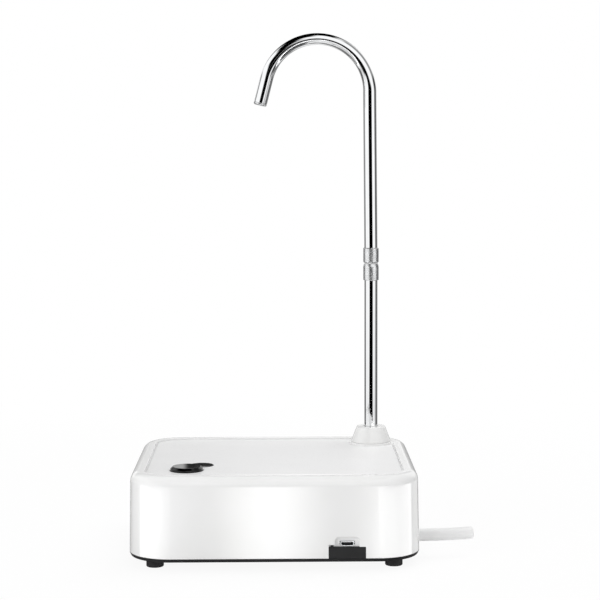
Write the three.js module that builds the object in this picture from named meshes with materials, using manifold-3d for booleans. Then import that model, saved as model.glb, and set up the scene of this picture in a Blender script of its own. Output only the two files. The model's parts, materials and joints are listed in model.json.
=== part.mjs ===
// A desktop pump for bottled water: a white tray base with a swivelling steel spout.
// Millimetres. +Z is up, +X is to the right seen from the front, and the front looks along -Y.
// The origin lies under the centre of the base, on the surface that the feet stand on.

import * as THREE from 'three';
import { mergeVertices } from 'three/addons/utils/BufferGeometryUtils.js';
import Module from 'manifold-3d';

const wasm = await Module();
wasm.setup();

// Clearances
const fit = 0.1; // round a piece that stays where it is
const runningGap = 0.3; // round a piece that moves, and between the stacked pump pieces
const overrun = 1; // how far a cutter or a joined rib runs past a face

// Base housing
const bodyWidth = 163;
const bodyDepth = 139;
const bodyCorner = 24;
const bodyTop = 52.6;
const bodyLean = 0.8; // each side leans in by this over its height
const topFillet = 5.5;
const wall = 2.4;
const topWall = 2.2; // under the tray
const rimWidth = 8.8;
const trayDepth = 1;
const trayCorner = 15.2;
const padMargin = 1.1; // of the raised pad round the spout collar
const padBlend = 1.5;
const bossRadius = 4;
const bossTop = 25;
const ribThickness = 2;

// Base plate and feet
const footHeight = 5.2;
const footRadius = 4.9;
const footEdge = 0.6;
const footInset = 14.8;
const plateThickness = 1.9;
const plateLean = 0.7; // its edge slopes in by this towards the bottom
const lipHeight = 3;
const lipThickness = 1.6;
const plateBossRadius = 6;
const plateBossHeight = 3.3;
const counterboreDepth = 2.6;
const tabWidth = 20.4;
const tabTop = 13.5;
const hookWidth = 1.6;
const hookHeight = 1.1;

// Screws
const screwRadius = 1.3;
const screwHead = 2.7;
const screwHeadHeight = 1.6;
const baseScrewLength = 12;
const shortScrewLength = 6;
const pumpScrewRadius = 1;
const pumpScrewHead = 2;
const crossWidth = 0.7;
const crossDepth = 0.9;

// Charging socket and main board
const usbInset = 41.4; // of its middle from the right side
const usbHeight = 15.2;
const usbShellWidth = 7.4;
const usbShellHeight = 2.5;
const usbShellLength = 5.4;
const usbShellWall = 0.3;
const usbTongueWidth = 4;
const usbTongueHeight = 0.7;
const usbBackLength = 1.5;
const usbRecessWidth = 13.5;
const usbRecessTop = 19;
const usbRecessCorner = 2.2;
const usbRecessDepth = 0.6;
const boardWidth = 42;
const boardDepth = 22;
const boardShift = 2.1; // of its middle to the left of the socket
const boardThickness = 1.6;
const boardPostRadius = 2.2;
const boardPostInset = 3;
const boardBehindTab = 0.3;
const chipSize = 5;
const chipHeight = 1.5;
const capacitorRadius = 3.15;
const capacitorHeight = 7;
const plugWidth = 7.4;
const plugDepth = 5.8;
const plugHeight = 7;
const plugWall = 0.9;

// Spout
const spoutInset = 22.2; // of the tube axis from the right side and from the back
const tubeRadius = 4;
const tubeWall = 0.8;
const tubeBottom = 35;
const collarRadius = 12.2;
const collarTopRadius = 8.6;
const collarHeight = 9.4;
const collarEdge = 0.9;
const collarRoof = 3.8;
const collarHollow = 7;
const socketSpigot = 6.6;
const spigotRise = 4.8;
const socketFlange = 11.5;
const flangeThickness = 3;
const socketRadius = 8;
const socketBottom = 36.3;
const clipChamberDepth = 2.6;
const ringSection = 0.9;
const ringHeight = 42.2;
const clipRadius = 5.4;
const clipThickness = 1.2;
const clipOpening = 2.6;
const elbowBottom = 26;
const elbowRadius = 7.2;
const elbowWall = 1.5;
const elbowSpigot = 6.6;
const elbowSpigotWall = 0.9;
const elbowPortHeight = 31;
const seamHeight = 162.3; // where the lower tube meets the gooseneck
const seamGap = 0.7;
const sleeveRadius = 4.7;
const lowerSleeveLength = 10.1;
const upperSleeveLength = 9.1;
const sleeveChamferHeight = 1.7;
const sleeveChamfer = 0.4;
const nippleReach = 8;
const nippleWall = 0.8;
const bendRadius = 31.8;
const bendFlattening = 1.1; // taken off the inner side at the crown
const bendHeight = 265.9; // where the riser turns into the bend
const riserLean = 0.45; // degrees
const outletAngle = 165.5; // degrees from straight up
const outletLength = 14.5;
const tipLength = 1.6;
const tipSpigotLength = 4;
const tipBore = 2.3;
const tipRim = 2.9;

// Button and its light
const buttonSide = 32.1; // of its middle from the left side
const buttonFront = 28; // and from the front
const capRadius = 9.2;
const capTopRadius = 7.9;
const capRise = 2.3;
const capBevel = 1.2;
const capSoftEdge = 0.35;
const capWall = 1.6;
const capRoof = 1.8;
const capFlange = 10.3;
const capFlangeHeight = 1.2;
const capStem = 1.8;
const buttonTravel = 0.8;
const lensOffsetX = 7.8;
const lensOffsetY = 15.2;
const lensRadius = 6.9;
const lensProud = 0.15;
const lensFlange = 1.3;
const lensFlangeHeight = 1.2;
const buttonBoardDrop = 9.8; // of its upper face below the tray's underside
const buttonBoardMargin = 4.2;
const stakeInset = 2.7;
const stakeBoss = 2.6;
const stakeRadius = 1.05;
const stakeClearance = 0.15;
const stakeHead = 1.8;
const stakeHeadHeight = 0.9;
const switchSize = 6;
const switchHeight = 3.5;
const switchFloor = 0.6;
const plungerRadius = 1.6;
const plungerProud = 1.1;
const ledWidth = 3.2;
const ledDepth = 2.8;
const ledHeight = 1.9;

// Battery
const batterySide = 20; // of its axis from the left side
const batteryFront = 28; // of its front end from the front
const batteryRadius = 9.2;
const batteryLength = 65;
const batteryFloor = 1.6; // above the plate
const terminalRadius = 3;
const terminalHeight = 1;
const terminalGroove = 0.4;
const saddleHalfWidth = 10.5;
const saddleThickness = 4;
const saddleRise = 7.2;
const saddleSpacing = 41;
const stopThickness = 2;
const stopRise = 9;
const strapWidth = 10;
const strapThickness = 1.6;
const pocketWall = 1.6;
const pocketRise = 4;

// Pump, along its own axis from the back of the motor
const pumpBack = -30;
const pumpFront = 39.5; // of its axis from the front
const pumpHeight = 22;
const motorRadius = 12.1;
const motorWall = 0.6;
const motorLength = 31;
const endCapRim = 2;
const endCapSpigot = 2.5;
const shaftRadius = 1;
const bearingHole = 1.3;
const terminalWidth = 2.2;
const terminalThickness = 0.6;
const terminalLength = 3;
const terminalSpread = 6;
const armatureRadius = 9.8;
const armatureLength = 15;
const armatureStart = 9.5;
const armatureSlot = 2.4;
const armatureHub = 3.6;
const commutatorRadius = 3;
const pumpWidth = 27;
const pumpCorner = 5;
const pumpBodyLength = 12.7;
const pumpBodyBack = 2;
const pumpBore = 11;
const pumpBoreBack = 3.6;
const eccentricRadius = 5.5;
const eccentricLength = 3.6;
const eccentricGap = 0.7;
const crankOffset = 2.4;
const crankRadius = 1;
const crankLength = 2.6;
const wobbleHub = 5.2;
const wobbleBore = 3.8;
const wobbleArm = 9.4;
const wobbleArmWidth = 5;
const wobbleThickness = 1.6;
const wobbleSkirt = 2.4;
const cupRadius = 2.2;
const cupCircle = 6.4;
const diaphragmThickness = 1.2;
const valvePlateThickness = 3;
const valvePocket = 3;
const valvePocketDepth = 1.6;
const valveHole = 0.8;
const headThickness = 6;
const headPocket = 4;
const headPocketDepth = 3;
const pumpScrewCircle = 15;
const pumpScrewLength = 20;
const portSpread = 6.5;
const portRadius = 2;
const portBarb = 2.25;
const portBore = 1.3;
const portLength = 6;
const motorSaddleThickness = 3;
const motorSaddleHalfWidth = 10;
const motorSaddleRise = 9.2;
const motorSaddleNear = 6;
const motorSaddleFar = 24;
const clampWidth = 8;
const clampStart = 11.5;
const clampThickness = 1.6;
const clampFlange = 7;
const clampFlangeHeight = 14;
const clampPostRadius = 3.2;

// Hoses and cables
const hoseRadius = 3.5;
const hoseBore = 2.5;
const hoseFront = 33.5; // of its axis from the front
const hoseHeight = 12.5;
const grommetFlange = 4.9;
const grommetFlangeThickness = 0.8;
const grommetNeck = 4.3;
const fittingFlange = 4.4;
const fittingFlangeThickness = 2;
const fittingSide = 20.5; // of its flange from the right side
const fittingBarbLength = 8;
const fittingBlockLength = 4;
const fittingBlockHalfWidth = 6.2;
const cableRadius = 1.1;

// The free suction hose, from its inlet fitting out through the wall to its open end
const suctionRoute = [
  [62.4, -36, 12.5],
  [68.8, -36, 12.5],
  [75.2, -36, 12.5],
  [81.5, -36, 12.5],
  [87.9, -35.7, 12.5],
  [94.2, -35, 12.5],
  [100.5, -34, 12.5],
  [106.8, -32.6, 12.5],
  [113, -31, 12.5],
];

// How finely round shapes are cut
const shownSides = 24;
const hiddenSides = 12;
const smallSides = 8;
const cornerSteps = 4;
const filletSteps = 4;
const bendSteps = 22;
const hoseSides = 12;
const suctionSteps = 8;
const innerHoseSteps = 8;
const cableSides = 6;
const cableSteps = 14;

// Heights and places that follow from the sizes above
const plateTop = footHeight + plateThickness;
const trayFloor = bodyTop - trayDepth;
const ceiling = trayFloor - topWall;
const spoutX = bodyWidth / 2 - spoutInset;
const spoutY = bodyDepth / 2 - spoutInset;
const footX = bodyWidth / 2 - footInset;
const footY = bodyDepth / 2 - footInset;
const buttonX = buttonSide - bodyWidth / 2;
const buttonY = buttonFront - bodyDepth / 2;
const buttonBoardHeight = ceiling - buttonBoardDrop;
const usbX = bodyWidth / 2 - usbInset;
const boardX = usbX - boardShift;
const batteryX = batterySide - bodyWidth / 2;
const batteryY = batteryFront + (batteryLength - bodyDepth) / 2;
const pumpY = pumpFront - bodyDepth / 2;
const hoseY = hoseFront - bodyDepth / 2;
const fittingX = bodyWidth / 2 - fittingSide;
const bossSeat = plateTop + plateBossHeight;
const lensX = buttonX + lensOffsetX;
const lensY = buttonY + lensOffsetY;
const collarTop = bodyTop + collarHeight;
const batteryHeight = plateTop + batteryFloor + batteryRadius;
const boardTop = usbHeight - usbShellHeight / 2;
const boardBottom = boardTop - boardThickness;
const boardFront = wall + fit + boardBehindTab - bodyDepth / 2;
const boardY = boardFront + boardDepth / 2;
const corners = [
  ['front_left', -1, -1],
  ['front_right', 1, -1],
  ['rear_left', -1, 1],
  ['rear_right', 1, 1],
];

// A finish for one piece
function finish(color, roughness, metalness = 0) {
  return new THREE.MeshStandardMaterial({ color, roughness, metalness });
}
const whitePlastic = () => finish(0xf2f2f0, 0.22);
const blackPlastic = () => finish(0x2b2b2c, 0.45);
const polishedSteel = () => finish(0xd9dadb, 0.08, 1);
const satinSteel = () => finish(0xb9bbbd, 0.38, 1);
const zincSteel = () => finish(0x9fa3a8, 0.35, 1);
const silicone = () => finish(0xe6e6e2, 0.5);
const blackRubber = () => finish(0x1d1d1e, 0.8);
const greyPlastic = () => finish(0x8c9196, 0.45);
const circuitGreen = () => finish(0x1f6b43, 0.5);
const copper = () => finish(0xb4693a, 0.35, 1);

// A closed geometry as a solid, with its shared corners merged and its faces turned outwards
function solidOf(shape) {
  if (!shape.isBufferGeometry) return shape;
  const plain = shape.index ? shape.toNonIndexed() : shape.clone();
  plain.deleteAttribute('normal');
  plain.deleteAttribute('uv');
  const merged = mergeVertices(plain);
  const faces = [];
  for (let i = 0; i < merged.index.count; i += 3) {
    const [a, b, c] = [0, 1, 2].map((k) => merged.index.getX(i + k));
    if (a !== b && b !== c && c !== a) faces.push(a, b, c);
  }
  const vertProperties = merged.attributes.position.array;
  const make = (order) => {
    const triVerts = new Uint32Array(order);
    return new wasm.Manifold(new wasm.Mesh({ numProp: 3, vertProperties, triVerts }));
  };
  const made = make(faces);
  return made.volume() > 0 ? made : make(faces.reverse());
}

function join(first, ...others) {
  return others.reduce((whole, other) => whole.add(solidOf(other)), solidOf(first));
}

function cut(first, ...others) {
  return others.reduce((whole, other) => whole.subtract(solidOf(other)), solidOf(first));
}

// A named mesh from a solid or a closed geometry
function piece(name, shape, material) {
  const { vertProperties, triVerts } = solidOf(shape).getMesh();
  const geometry = new THREE.BufferGeometry();
  geometry.setAttribute('position', new THREE.BufferAttribute(vertProperties, 3));
  geometry.setIndex(new THREE.BufferAttribute(triVerts, 1));
  const flat = geometry.toNonIndexed();
  flat.computeVertexNormals();
  const mesh = new THREE.Mesh(flat, material);
  mesh.name = name;
  return mesh;
}

function box(x0, x1, y0, y1, z0, z1) {
  const geometry = new THREE.BoxGeometry(x1 - x0, y1 - y0, z1 - z0);
  return geometry.translate((x0 + x1) / 2, (y0 + y1) / 2, (z0 + z1) / 2);
}

// A profile of [radius, height] points turned about Z: it ends on the axis or closes on itself
function turned(profile, sides = hiddenSides) {
  const points = profile.map(([radius, height]) => new THREE.Vector2(radius, height));
  if (profile[0][0] > 0) points.push(points[0].clone());
  return new THREE.LatheGeometry(points, sides).rotateX(Math.PI / 2);
}

function rod(radius, bottom, top, sides) {
  return turned([[0, bottom], [radius, bottom], [radius, top], [0, top]], sides);
}

function pipe(outer, inner, bottom, top, sides) {
  return turned([[inner, bottom], [outer, bottom], [outer, top], [inner, top]], sides);
}

// Turns what was built along Z so that it runs along X, or along Y
const alongX = (geometry) => geometry.rotateY(Math.PI / 2);
const alongY = (geometry) => geometry.rotateX(-Math.PI / 2);

function roundedRectangle(width, depth, radius) {
  const x = width / 2 - radius;
  const y = depth / 2 - radius;
  const outline = new THREE.Shape();
  outline.absarc(x, y, radius, 0, Math.PI / 2, false);
  outline.absarc(-x, y, radius, Math.PI / 2, Math.PI, false);
  outline.absarc(-x, -y, radius, Math.PI, 1.5 * Math.PI, false);
  outline.absarc(x, -y, radius, 1.5 * Math.PI, 2 * Math.PI, false);
  return outline;
}

function slab(outline, bottom, top, curveSegments = cornerSteps) {
  const settings = { depth: top - bottom, bevelEnabled: false, curveSegments };
  return new THREE.ExtrudeGeometry(outline, settings).translate(0, 0, bottom);
}

// A tube that follows a curve, with a bore where one is given
function hose(curve, radius, bore, sides, steps) {
  const outline = new THREE.Shape().absarc(0, 0, radius, 0, 2 * Math.PI, false);
  if (bore > 0) outline.holes.push(new THREE.Path().absarc(0, 0, bore, 0, 2 * Math.PI, true));
  const settings = { steps, extrudePath: curve, curveSegments: sides / 2 };
  return new THREE.ExtrudeGeometry(outline, settings);
}

// Two straight ends joined by one smooth curve, for a hose or cable between two fittings
function easedRoute(start, startWay, startLength, end, endWay, endLength, pull) {
  const from = start.clone().addScaledVector(startWay, startLength);
  const to = end.clone().addScaledVector(endWay, endLength);
  const reach = from.distanceTo(to) * pull;
  const route = new THREE.CurvePath();
  route.add(new THREE.LineCurve3(start, from));
  const leave = from.clone().addScaledVector(startWay, reach);
  const arrive = to.clone().addScaledVector(endWay, reach);
  route.add(new THREE.CubicBezierCurve3(from, leave, arrive, to));
  route.add(new THREE.LineCurve3(to, end));
  return route;
}

// A pan head screw whose head's upper face lies at height 0, with its shank below
function screw(head, headHeight, radius, length) {
  const edge = headHeight / 4;
  const body = turned([
    [0, -headHeight - length],
    [radius / 2, -headHeight - length],
    [radius, radius - headHeight - length],
    [radius, -headHeight],
    [head, -headHeight],
    [head, -edge],
    [head - edge, 0],
    [0, 0],
  ], smallSides);
  const arm = head / 2;
  const slot = crossWidth / 2;
  return cut(
    body,
    box(-arm, arm, -slot, slot, -crossDepth, overrun),
    box(-slot, slot, -arm, arm, -crossDepth, overrun),
  );
}

const wholeScrew = (length) => screw(screwHead, screwHeadHeight, screwRadius, length);

function placed(mesh, x, y, z) {
  mesh.position.set(x, y, z);
  return mesh;
}

// The sides of the housing lean in towards the top, at one rate of their half width
const leanRate = bodyLean / (bodyWidth / 2) / (bodyTop - plateTop);
const leanAt = (height) => 1 - leanRate * (height - plateTop);

function leanIn(geometry) {
  const corner = geometry.attributes.position;
  for (let i = 0; i < corner.count; i += 1) {
    const share = leanAt(corner.getZ(i));
    corner.setX(i, corner.getX(i) * share);
    corner.setY(i, corner.getY(i) * share);
  }
  return geometry;
}

// A rounded block inset from the housing's outline, with a filleted upper edge
function bodyBlock(inset, top) {
  const fillet = topFillet - inset;
  const width = bodyWidth - 2 * topFillet;
  const depth = bodyDepth - 2 * topFillet;
  const outline = roundedRectangle(width, depth, bodyCorner - topFillet);
  const settings = {
    depth: top - fillet - plateTop,
    bevelThickness: fillet,
    bevelSize: fillet,
    bevelSegments: filletSteps,
    curveSegments: cornerSteps,
  };
  return leanIn(new THREE.ExtrudeGeometry(outline, settings).translate(0, 0, plateTop));
}

// The tray's edge: a rounded rectangle that runs round the front of the collar's pad
function trayOutline() {
  const x = bodyWidth / 2 - rimWidth;
  const y = bodyDepth / 2 - rimWidth;
  const pad = collarRadius + padMargin;
  const across = x - padBlend - spoutX;
  const down = Math.sqrt((pad + padBlend) ** 2 - across ** 2);
  const meet = Math.atan2(down, across);
  const quarter = Math.PI / 2;
  const cornerX = x - trayCorner;
  const cornerY = y - trayCorner;
  const outline = new THREE.Shape();
  outline.absarc(-cornerX, -cornerY, trayCorner, 2 * quarter, 3 * quarter, false);
  outline.absarc(cornerX, -cornerY, trayCorner, 3 * quarter, 4 * quarter, false);
  outline.absarc(x - padBlend, spoutY - down, padBlend, 0, Math.PI - meet, false);
  outline.absarc(spoutX, spoutY, pad, -meet, quarter + meet - 2 * Math.PI, true);
  outline.absarc(spoutX - down, y - padBlend, padBlend, meet - quarter, quarter, false);
  outline.absarc(-cornerX, cornerY, trayCorner, quarter, 2 * quarter, false);
  return outline;
}

// The window round the charging socket, as seen from the front, pushed along Y
function frontWindow(width, bottom, top, corner, front, back) {
  const outline = new THREE.Shape();
  const half = width / 2;
  outline.moveTo(-half, bottom);
  outline.lineTo(half, bottom);
  outline.absarc(half - corner, top - corner, corner, 0, Math.PI / 2, false);
  outline.absarc(corner - half, top - corner, corner, Math.PI / 2, Math.PI, false);
  const settings = { depth: back - front, bevelEnabled: false, curveSegments: 2 };
  const geometry = new THREE.ExtrudeGeometry(outline, settings);
  return geometry.rotateX(Math.PI / 2).translate(usbX, back, 0);
}

// The socket's section: wide at the top, with its two lower corners cut away
function socketSection(width, height) {
  const half = width / 2;
  const low = height / 2;
  const step = height / 3;
  const outline = new THREE.Shape();
  outline.moveTo(-half + step, -low);
  outline.lineTo(half - step, -low);
  outline.lineTo(half, -low + step);
  outline.lineTo(half, low);
  outline.lineTo(-half, low);
  outline.lineTo(-half, -low + step);
  return outline;
}

function socketPrism(width, height, front, length, hole) {
  const outline = socketSection(width, height);
  if (hole) outline.holes.push(hole);
  const geometry = new THREE.ExtrudeGeometry(outline, { depth: length, bevelEnabled: false });
  return geometry.rotateX(Math.PI / 2).translate(usbX, front + length, usbHeight);
}

const faceY = -(bodyDepth / 2) * leanAt(usbHeight);
const usbFront = faceY + usbRecessDepth;
const sideX = (bodyWidth / 2) * leanAt(hoseHeight);
const stakes = [[-1, 1], [1, -1]];
const buttonBoardX = (buttonX + lensX) / 2;
const buttonBoardY = (buttonY + lensY) / 2;
const buttonBoardHalfX = capFlange + buttonBoardMargin;
const buttonBoardHalfY = capFlange + lensOffsetY / 2;

function makeHousing() {
  const outside = topFillet + overrun;
  const shell = cut(
    bodyBlock(0, bodyTop),
    box(-bodyWidth, bodyWidth, -bodyDepth, bodyDepth, plateTop - outside, plateTop),
    bodyBlock(wall, ceiling),
    slab(trayOutline(), trayFloor, bodyTop + overrun),
  );
  const ribs = corners.flatMap(([, sx, sy]) => {
    const diagonal = Math.hypot(bodyCorner - footInset, bodyCorner - footInset);
    const reach = bodyCorner - wall / 2 - diagonal;
    const rib = box(0, reach, -ribThickness / 2, ribThickness / 2, bossSeat + fit, bossTop);
    const post = rod(bossRadius, bossSeat + fit, bossTop);
    return [
      rib.rotateZ(Math.atan2(sy, sx)).translate(sx * footX, sy * footY, 0),
      post.translate(sx * footX, sy * footY, 0),
    ];
  });
  const posts = stakes.flatMap(([sx, sy]) => {
    const x = buttonBoardX + sx * (buttonBoardHalfX - stakeInset);
    const y = buttonBoardY + sy * (buttonBoardHalfY - stakeInset);
    const under = buttonBoardHeight - boardThickness - fit;
    return [
      rod(stakeBoss, buttonBoardHeight + fit, ceiling + overrun, smallSides).translate(x, y, 0),
      rod(stakeRadius, under, ceiling, smallSides).translate(x, y, 0),
      rod(stakeHead, under - stakeHeadHeight, under, smallSides).translate(x, y, 0),
    ];
  });
  const pilots = corners.map(([, sx, sy]) => (
    rod(screwRadius + fit, 0, bossTop - ribThickness, smallSides)
      .translate(sx * footX, sy * footY, 0)
  ));
  const spoutHole = rod(socketSpigot + fit, ceiling - overrun, bodyTop + overrun, shownSides);
  const capHole = rod(capRadius + runningGap, ceiling - overrun, bodyTop + overrun, shownSides);
  const lensHole = rod(lensRadius + fit, ceiling - overrun, bodyTop + overrun, shownSides);
  const faceFront = faceY - overrun;
  const inside = wall + overrun - bodyDepth / 2;
  const tabHole = frontWindow(tabWidth + 2 * fit, 0, tabTop + fit, fit, faceFront, inside);
  const hookX = usbX - tabWidth / 2;
  const hookHole = box(
    hookX, hookX + hookWidth + 2 * hookHeight,
    faceFront, faceY + wall / 2 + fit,
    tabTop, tabTop + hookHeight + fit,
  );
  const recess = frontWindow(
    usbRecessWidth, tabTop, usbRecessTop, usbRecessCorner, faceFront, usbFront,
  );
  const mouth = socketPrism(
    usbShellWidth + 2 * fit, usbShellHeight + 2 * fit, faceFront, inside - faceFront,
  );
  const bore = alongX(rod(grommetNeck + fit, sideX - wall - overrun, sideX + overrun));
  const sinkStart = sideX - grommetFlangeThickness - fit;
  const sink = alongX(rod(grommetFlange + fit, sinkStart, sideX + overrun));
  return cut(
    join(shell, ...ribs, ...posts),
    ...pilots,
    spoutHole.translate(spoutX, spoutY, 0),
    capHole.translate(buttonX, buttonY, 0),
    lensHole.translate(lensX, lensY, 0),
    tabHole,
    hookHole,
    recess,
    mouth,
    bore.translate(0, hoseY, hoseHeight),
    sink.translate(0, hoseY, hoseHeight),
  );
}

// The board's corner posts, of which the rear right one takes the screw
const boardPosts = [[-1, 1], [1, 1], [-1, -1], [1, -1]].map(([sx, sy]) => [
  boardX + sx * (boardWidth / 2 - boardPostInset),
  boardY + sy * (boardDepth / 2 - boardPostInset),
]);
const batteryPlaces = [-1, 1].map((side) => batteryY + side * saddleSpacing / 2);
const motorPlaces = [motorSaddleFar, motorSaddleNear].map((place) => pumpBack + place);
const clampX = pumpBack + clampStart + clampWidth / 2;
const clampScrewY = pumpY + motorRadius + runningGap + clampThickness + clampFlange / 2;
const strapReach = batteryRadius + runningGap;
const clampReach = motorRadius + runningGap;

// A slotted pocket on the plate that holds the lower end of a strap's leg
function pocket(x, y, halfX, halfY, legX, legY) {
  const top = plateTop + pocketRise;
  return cut(
    box(x - halfX, x + halfX, y - halfY, y + halfY, footHeight, top),
    box(x - legX, x + legX, y - legY, y + legY, plateTop, top + overrun),
  );
}

function makeBasePlate() {
  const lipWidth = bodyWidth - 2 * (wall + fit);
  const lipDepth = bodyDepth - 2 * (wall + fit);
  const lipCorner = bodyCorner - wall - fit;
  const inLip = 2 * lipThickness;
  const lipTop = plateTop + lipHeight;
  const lip = cut(
    slab(roundedRectangle(lipWidth, lipDepth, lipCorner), footHeight, lipTop),
    slab(
      roundedRectangle(lipWidth - inLip, lipDepth - inLip, lipCorner - lipThickness),
      plateTop - overrun / 2, lipTop + overrun,
    ),
  );
  const sheet = slab(roundedRectangle(bodyWidth, bodyDepth, bodyCorner), footHeight, plateTop);
  const edge = sheet.attributes.position;
  for (let i = 0; i < edge.count; i += 1) {
    if (edge.getZ(i) > plateTop - plateThickness / 2) continue;
    edge.setX(i, edge.getX(i) * (1 - plateLean / (bodyWidth / 2)));
    edge.setY(i, edge.getY(i) * (1 - plateLean / (bodyDepth / 2)));
  }
  const tabBack = wall + fit - bodyDepth / 2;
  const tabLeft = usbX - tabWidth / 2;
  const tab = box(tabLeft, tabLeft + tabWidth, faceY + fit, tabBack + fit, footHeight, tabTop);
  const hook = box(
    tabLeft + hookHeight, tabLeft + hookHeight + hookWidth,
    faceY + fit, faceY + wall / 2,
    tabTop - overrun, tabTop + hookHeight,
  );
  const bosses = corners.map(([, sx, sy]) => (
    rod(plateBossRadius, footHeight, bossSeat).translate(sx * footX, sy * footY, 0)
  ));
  const boardSupports = boardPosts.map(([x, y]) => (
    rod(boardPostRadius, footHeight, boardBottom - fit, smallSides).translate(x, y, 0)
  ));
  const cell = alongY(
    rod(batteryRadius + fit, batteryY - batteryLength, batteryY + batteryLength, shownSides),
  ).translate(batteryX, 0, batteryHeight);
  const saddles = batteryPlaces.map((y) => cut(
    box(
      batteryX - saddleHalfWidth, batteryX + saddleHalfWidth,
      y - saddleThickness / 2, y + saddleThickness / 2,
      footHeight, plateTop + saddleRise,
    ),
    cell,
  ));
  const stops = [-1, 1].map((side) => {
    const y = batteryY + side * (batteryLength / 2 + terminalHeight + runningGap + stopThickness / 2);
    return box(
      batteryX - terminalRadius, batteryX + terminalRadius,
      y - stopThickness / 2, y + stopThickness / 2,
      footHeight, plateTop + stopRise,
    );
  });
  const can = alongX(rod(motorRadius + runningGap, pumpBack, -pumpBack, shownSides))
    .translate(0, pumpY, pumpHeight);
  const motorSaddles = motorPlaces.map((x) => cut(
    box(
      x - motorSaddleThickness / 2, x + motorSaddleThickness / 2,
      pumpY - motorSaddleHalfWidth, pumpY + motorSaddleHalfWidth,
      footHeight, plateTop + motorSaddleRise,
    ),
    can,
  ));
  const legHalf = strapThickness / 2 + fit;
  const strapLeg = strapReach + strapThickness / 2;
  const strapPockets = [-1, 1].map((side) => pocket(
    batteryX + side * strapLeg, batteryY,
    legHalf + pocketWall / 2, strapWidth / 2 + fit + pocketWall,
    legHalf, strapWidth / 2 + fit,
  ));
  const clampPocket = pocket(
    clampX, pumpY - clampReach - clampThickness / 2,
    clampWidth / 2 + fit + pocketWall, legHalf + pocketWall / 2,
    clampWidth / 2 + fit, legHalf,
  );
  const clampPost = rod(clampPostRadius, footHeight, clampFlangeHeight - fit, smallSides)
    .translate(clampX, clampScrewY, 0);
  const block = box(
    fittingX - fittingBlockLength / 2, fittingX + fittingBlockLength / 2,
    hoseY - fittingBlockHalfWidth, hoseY + fittingBlockHalfWidth,
    footHeight, hoseHeight,
  );
  const flangeHalf = fittingFlangeThickness / 2 + fit;
  const seat = alongX(rod(fittingFlange + fit, fittingX - flangeHalf, fittingX + flangeHalf))
    .translate(0, hoseY, hoseHeight);
  const hoseWay = alongX(
    rod(hoseRadius + runningGap, fittingX - fittingBlockLength, bodyWidth / 2 - wall - fit),
  ).translate(0, hoseY, hoseHeight);
  const grommetWay = alongX(
    rod(grommetFlange + runningGap, sideX - wall - overrun - grommetFlangeThickness, sideX),
  ).translate(0, hoseY, hoseHeight);
  const counterbores = corners.flatMap(([, sx, sy]) => [
    rod(screwHead + fit, footHeight - overrun, footHeight + counterboreDepth, smallSides)
      .translate(sx * footX, sy * footY, 0),
    rod(screwRadius + fit, footHeight - overrun, bossSeat + overrun, smallSides)
      .translate(sx * footX, sy * footY, 0),
  ]);
  const pilot = (x, y, top) => rod(screwRadius + fit, plateTop, top + overrun, smallSides)
    .translate(x, y, 0);
  return cut(
    join(
      sheet, lip, tab, hook, ...bosses, ...boardSupports, ...saddles, ...stops,
      ...motorSaddles, ...strapPockets, clampPocket, clampPost, block,
    ),
    seat,
    hoseWay,
    grommetWay,
    ...counterbores,
    pilot(boardPosts[1][0], boardPosts[1][1], boardBottom),
    pilot(clampX, clampScrewY, clampFlangeHeight),
  );
}

function makeFoot() {
  const top = footHeight - fit;
  return turned([
    [0, 0],
    [footRadius - footEdge, 0],
    [footRadius, footEdge],
    [footRadius, top],
    [0, top],
  ], shownSides);
}

// The base with its plate, its feet and the screws that the feet hide
function makeBase() {
  const group = new THREE.Group();
  group.add(piece('housing', makeHousing(), whitePlastic()));
  group.add(piece('base_plate', makeBasePlate(), blackPlastic()));
  corners.forEach(([place, sx, sy]) => {
    const foot = piece(`foot_${place}`, makeFoot(), blackRubber());
    group.add(placed(foot, sx * footX, sy * footY, 0));
    const fixing = piece(`base_screw_${place}`, wholeScrew(baseScrewLength), zincSteel());
    fixing.rotation.x = Math.PI;
    const headFace = footHeight + counterboreDepth - screwHeadHeight - fit;
    group.add(placed(fixing, sx * footX, sy * footY, headFace));
  });
  return group;
}

// The collar on its pad, and the socket under the tray that the tube turns in
function makeSpoutSeat() {
  const group = new THREE.Group();
  group.position.set(spoutX, spoutY, 0);
  const bore = tubeRadius + runningGap;
  const roof = collarTop - collarRoof;
  group.add(piece('collar', turned([
    [collarHollow, bodyTop],
    [collarRadius, bodyTop],
    [collarTopRadius + collarEdge / 2, collarTop - collarEdge],
    [collarTopRadius - collarEdge / 2, collarTop],
    [bore, collarTop],
    [bore, roof],
    [collarHollow, roof],
  ], shownSides), whitePlastic()));
  const shoulder = socketBottom + clipChamberDepth;
  const flangeTop = ceiling - fit;
  const groove = tubeRadius + 2 * ringSection + 2 * fit;
  const grooveHalf = ringSection + fit;
  const counterbore = elbowSpigot + fit;
  group.add(piece('spout_socket', turned([
    [counterbore, socketBottom],
    [socketRadius, socketBottom],
    [socketRadius, flangeTop - flangeThickness],
    [socketFlange, flangeTop - flangeThickness],
    [socketFlange, flangeTop],
    [socketSpigot, flangeTop],
    [socketSpigot, bodyTop + spigotRise],
    [bore, bodyTop + spigotRise],
    [bore, ringHeight + grooveHalf],
    [groove, ringHeight + grooveHalf],
    [groove, ringHeight - grooveHalf],
    [bore, ringHeight - grooveHalf],
    [bore, shoulder],
    [counterbore, shoulder],
  ], shownSides), greyPlastic()));
  const ring = new THREE.TorusGeometry(
    tubeRadius + ringSection + fit, ringSection - fit / 2, cableSides, shownSides,
  );
  group.add(piece('spout_o_ring', ring.translate(0, 0, ringHeight), blackRubber()));
  group.add(piece('spout_elbow', makeElbow(), greyPlastic()));
  return group;
}

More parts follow.
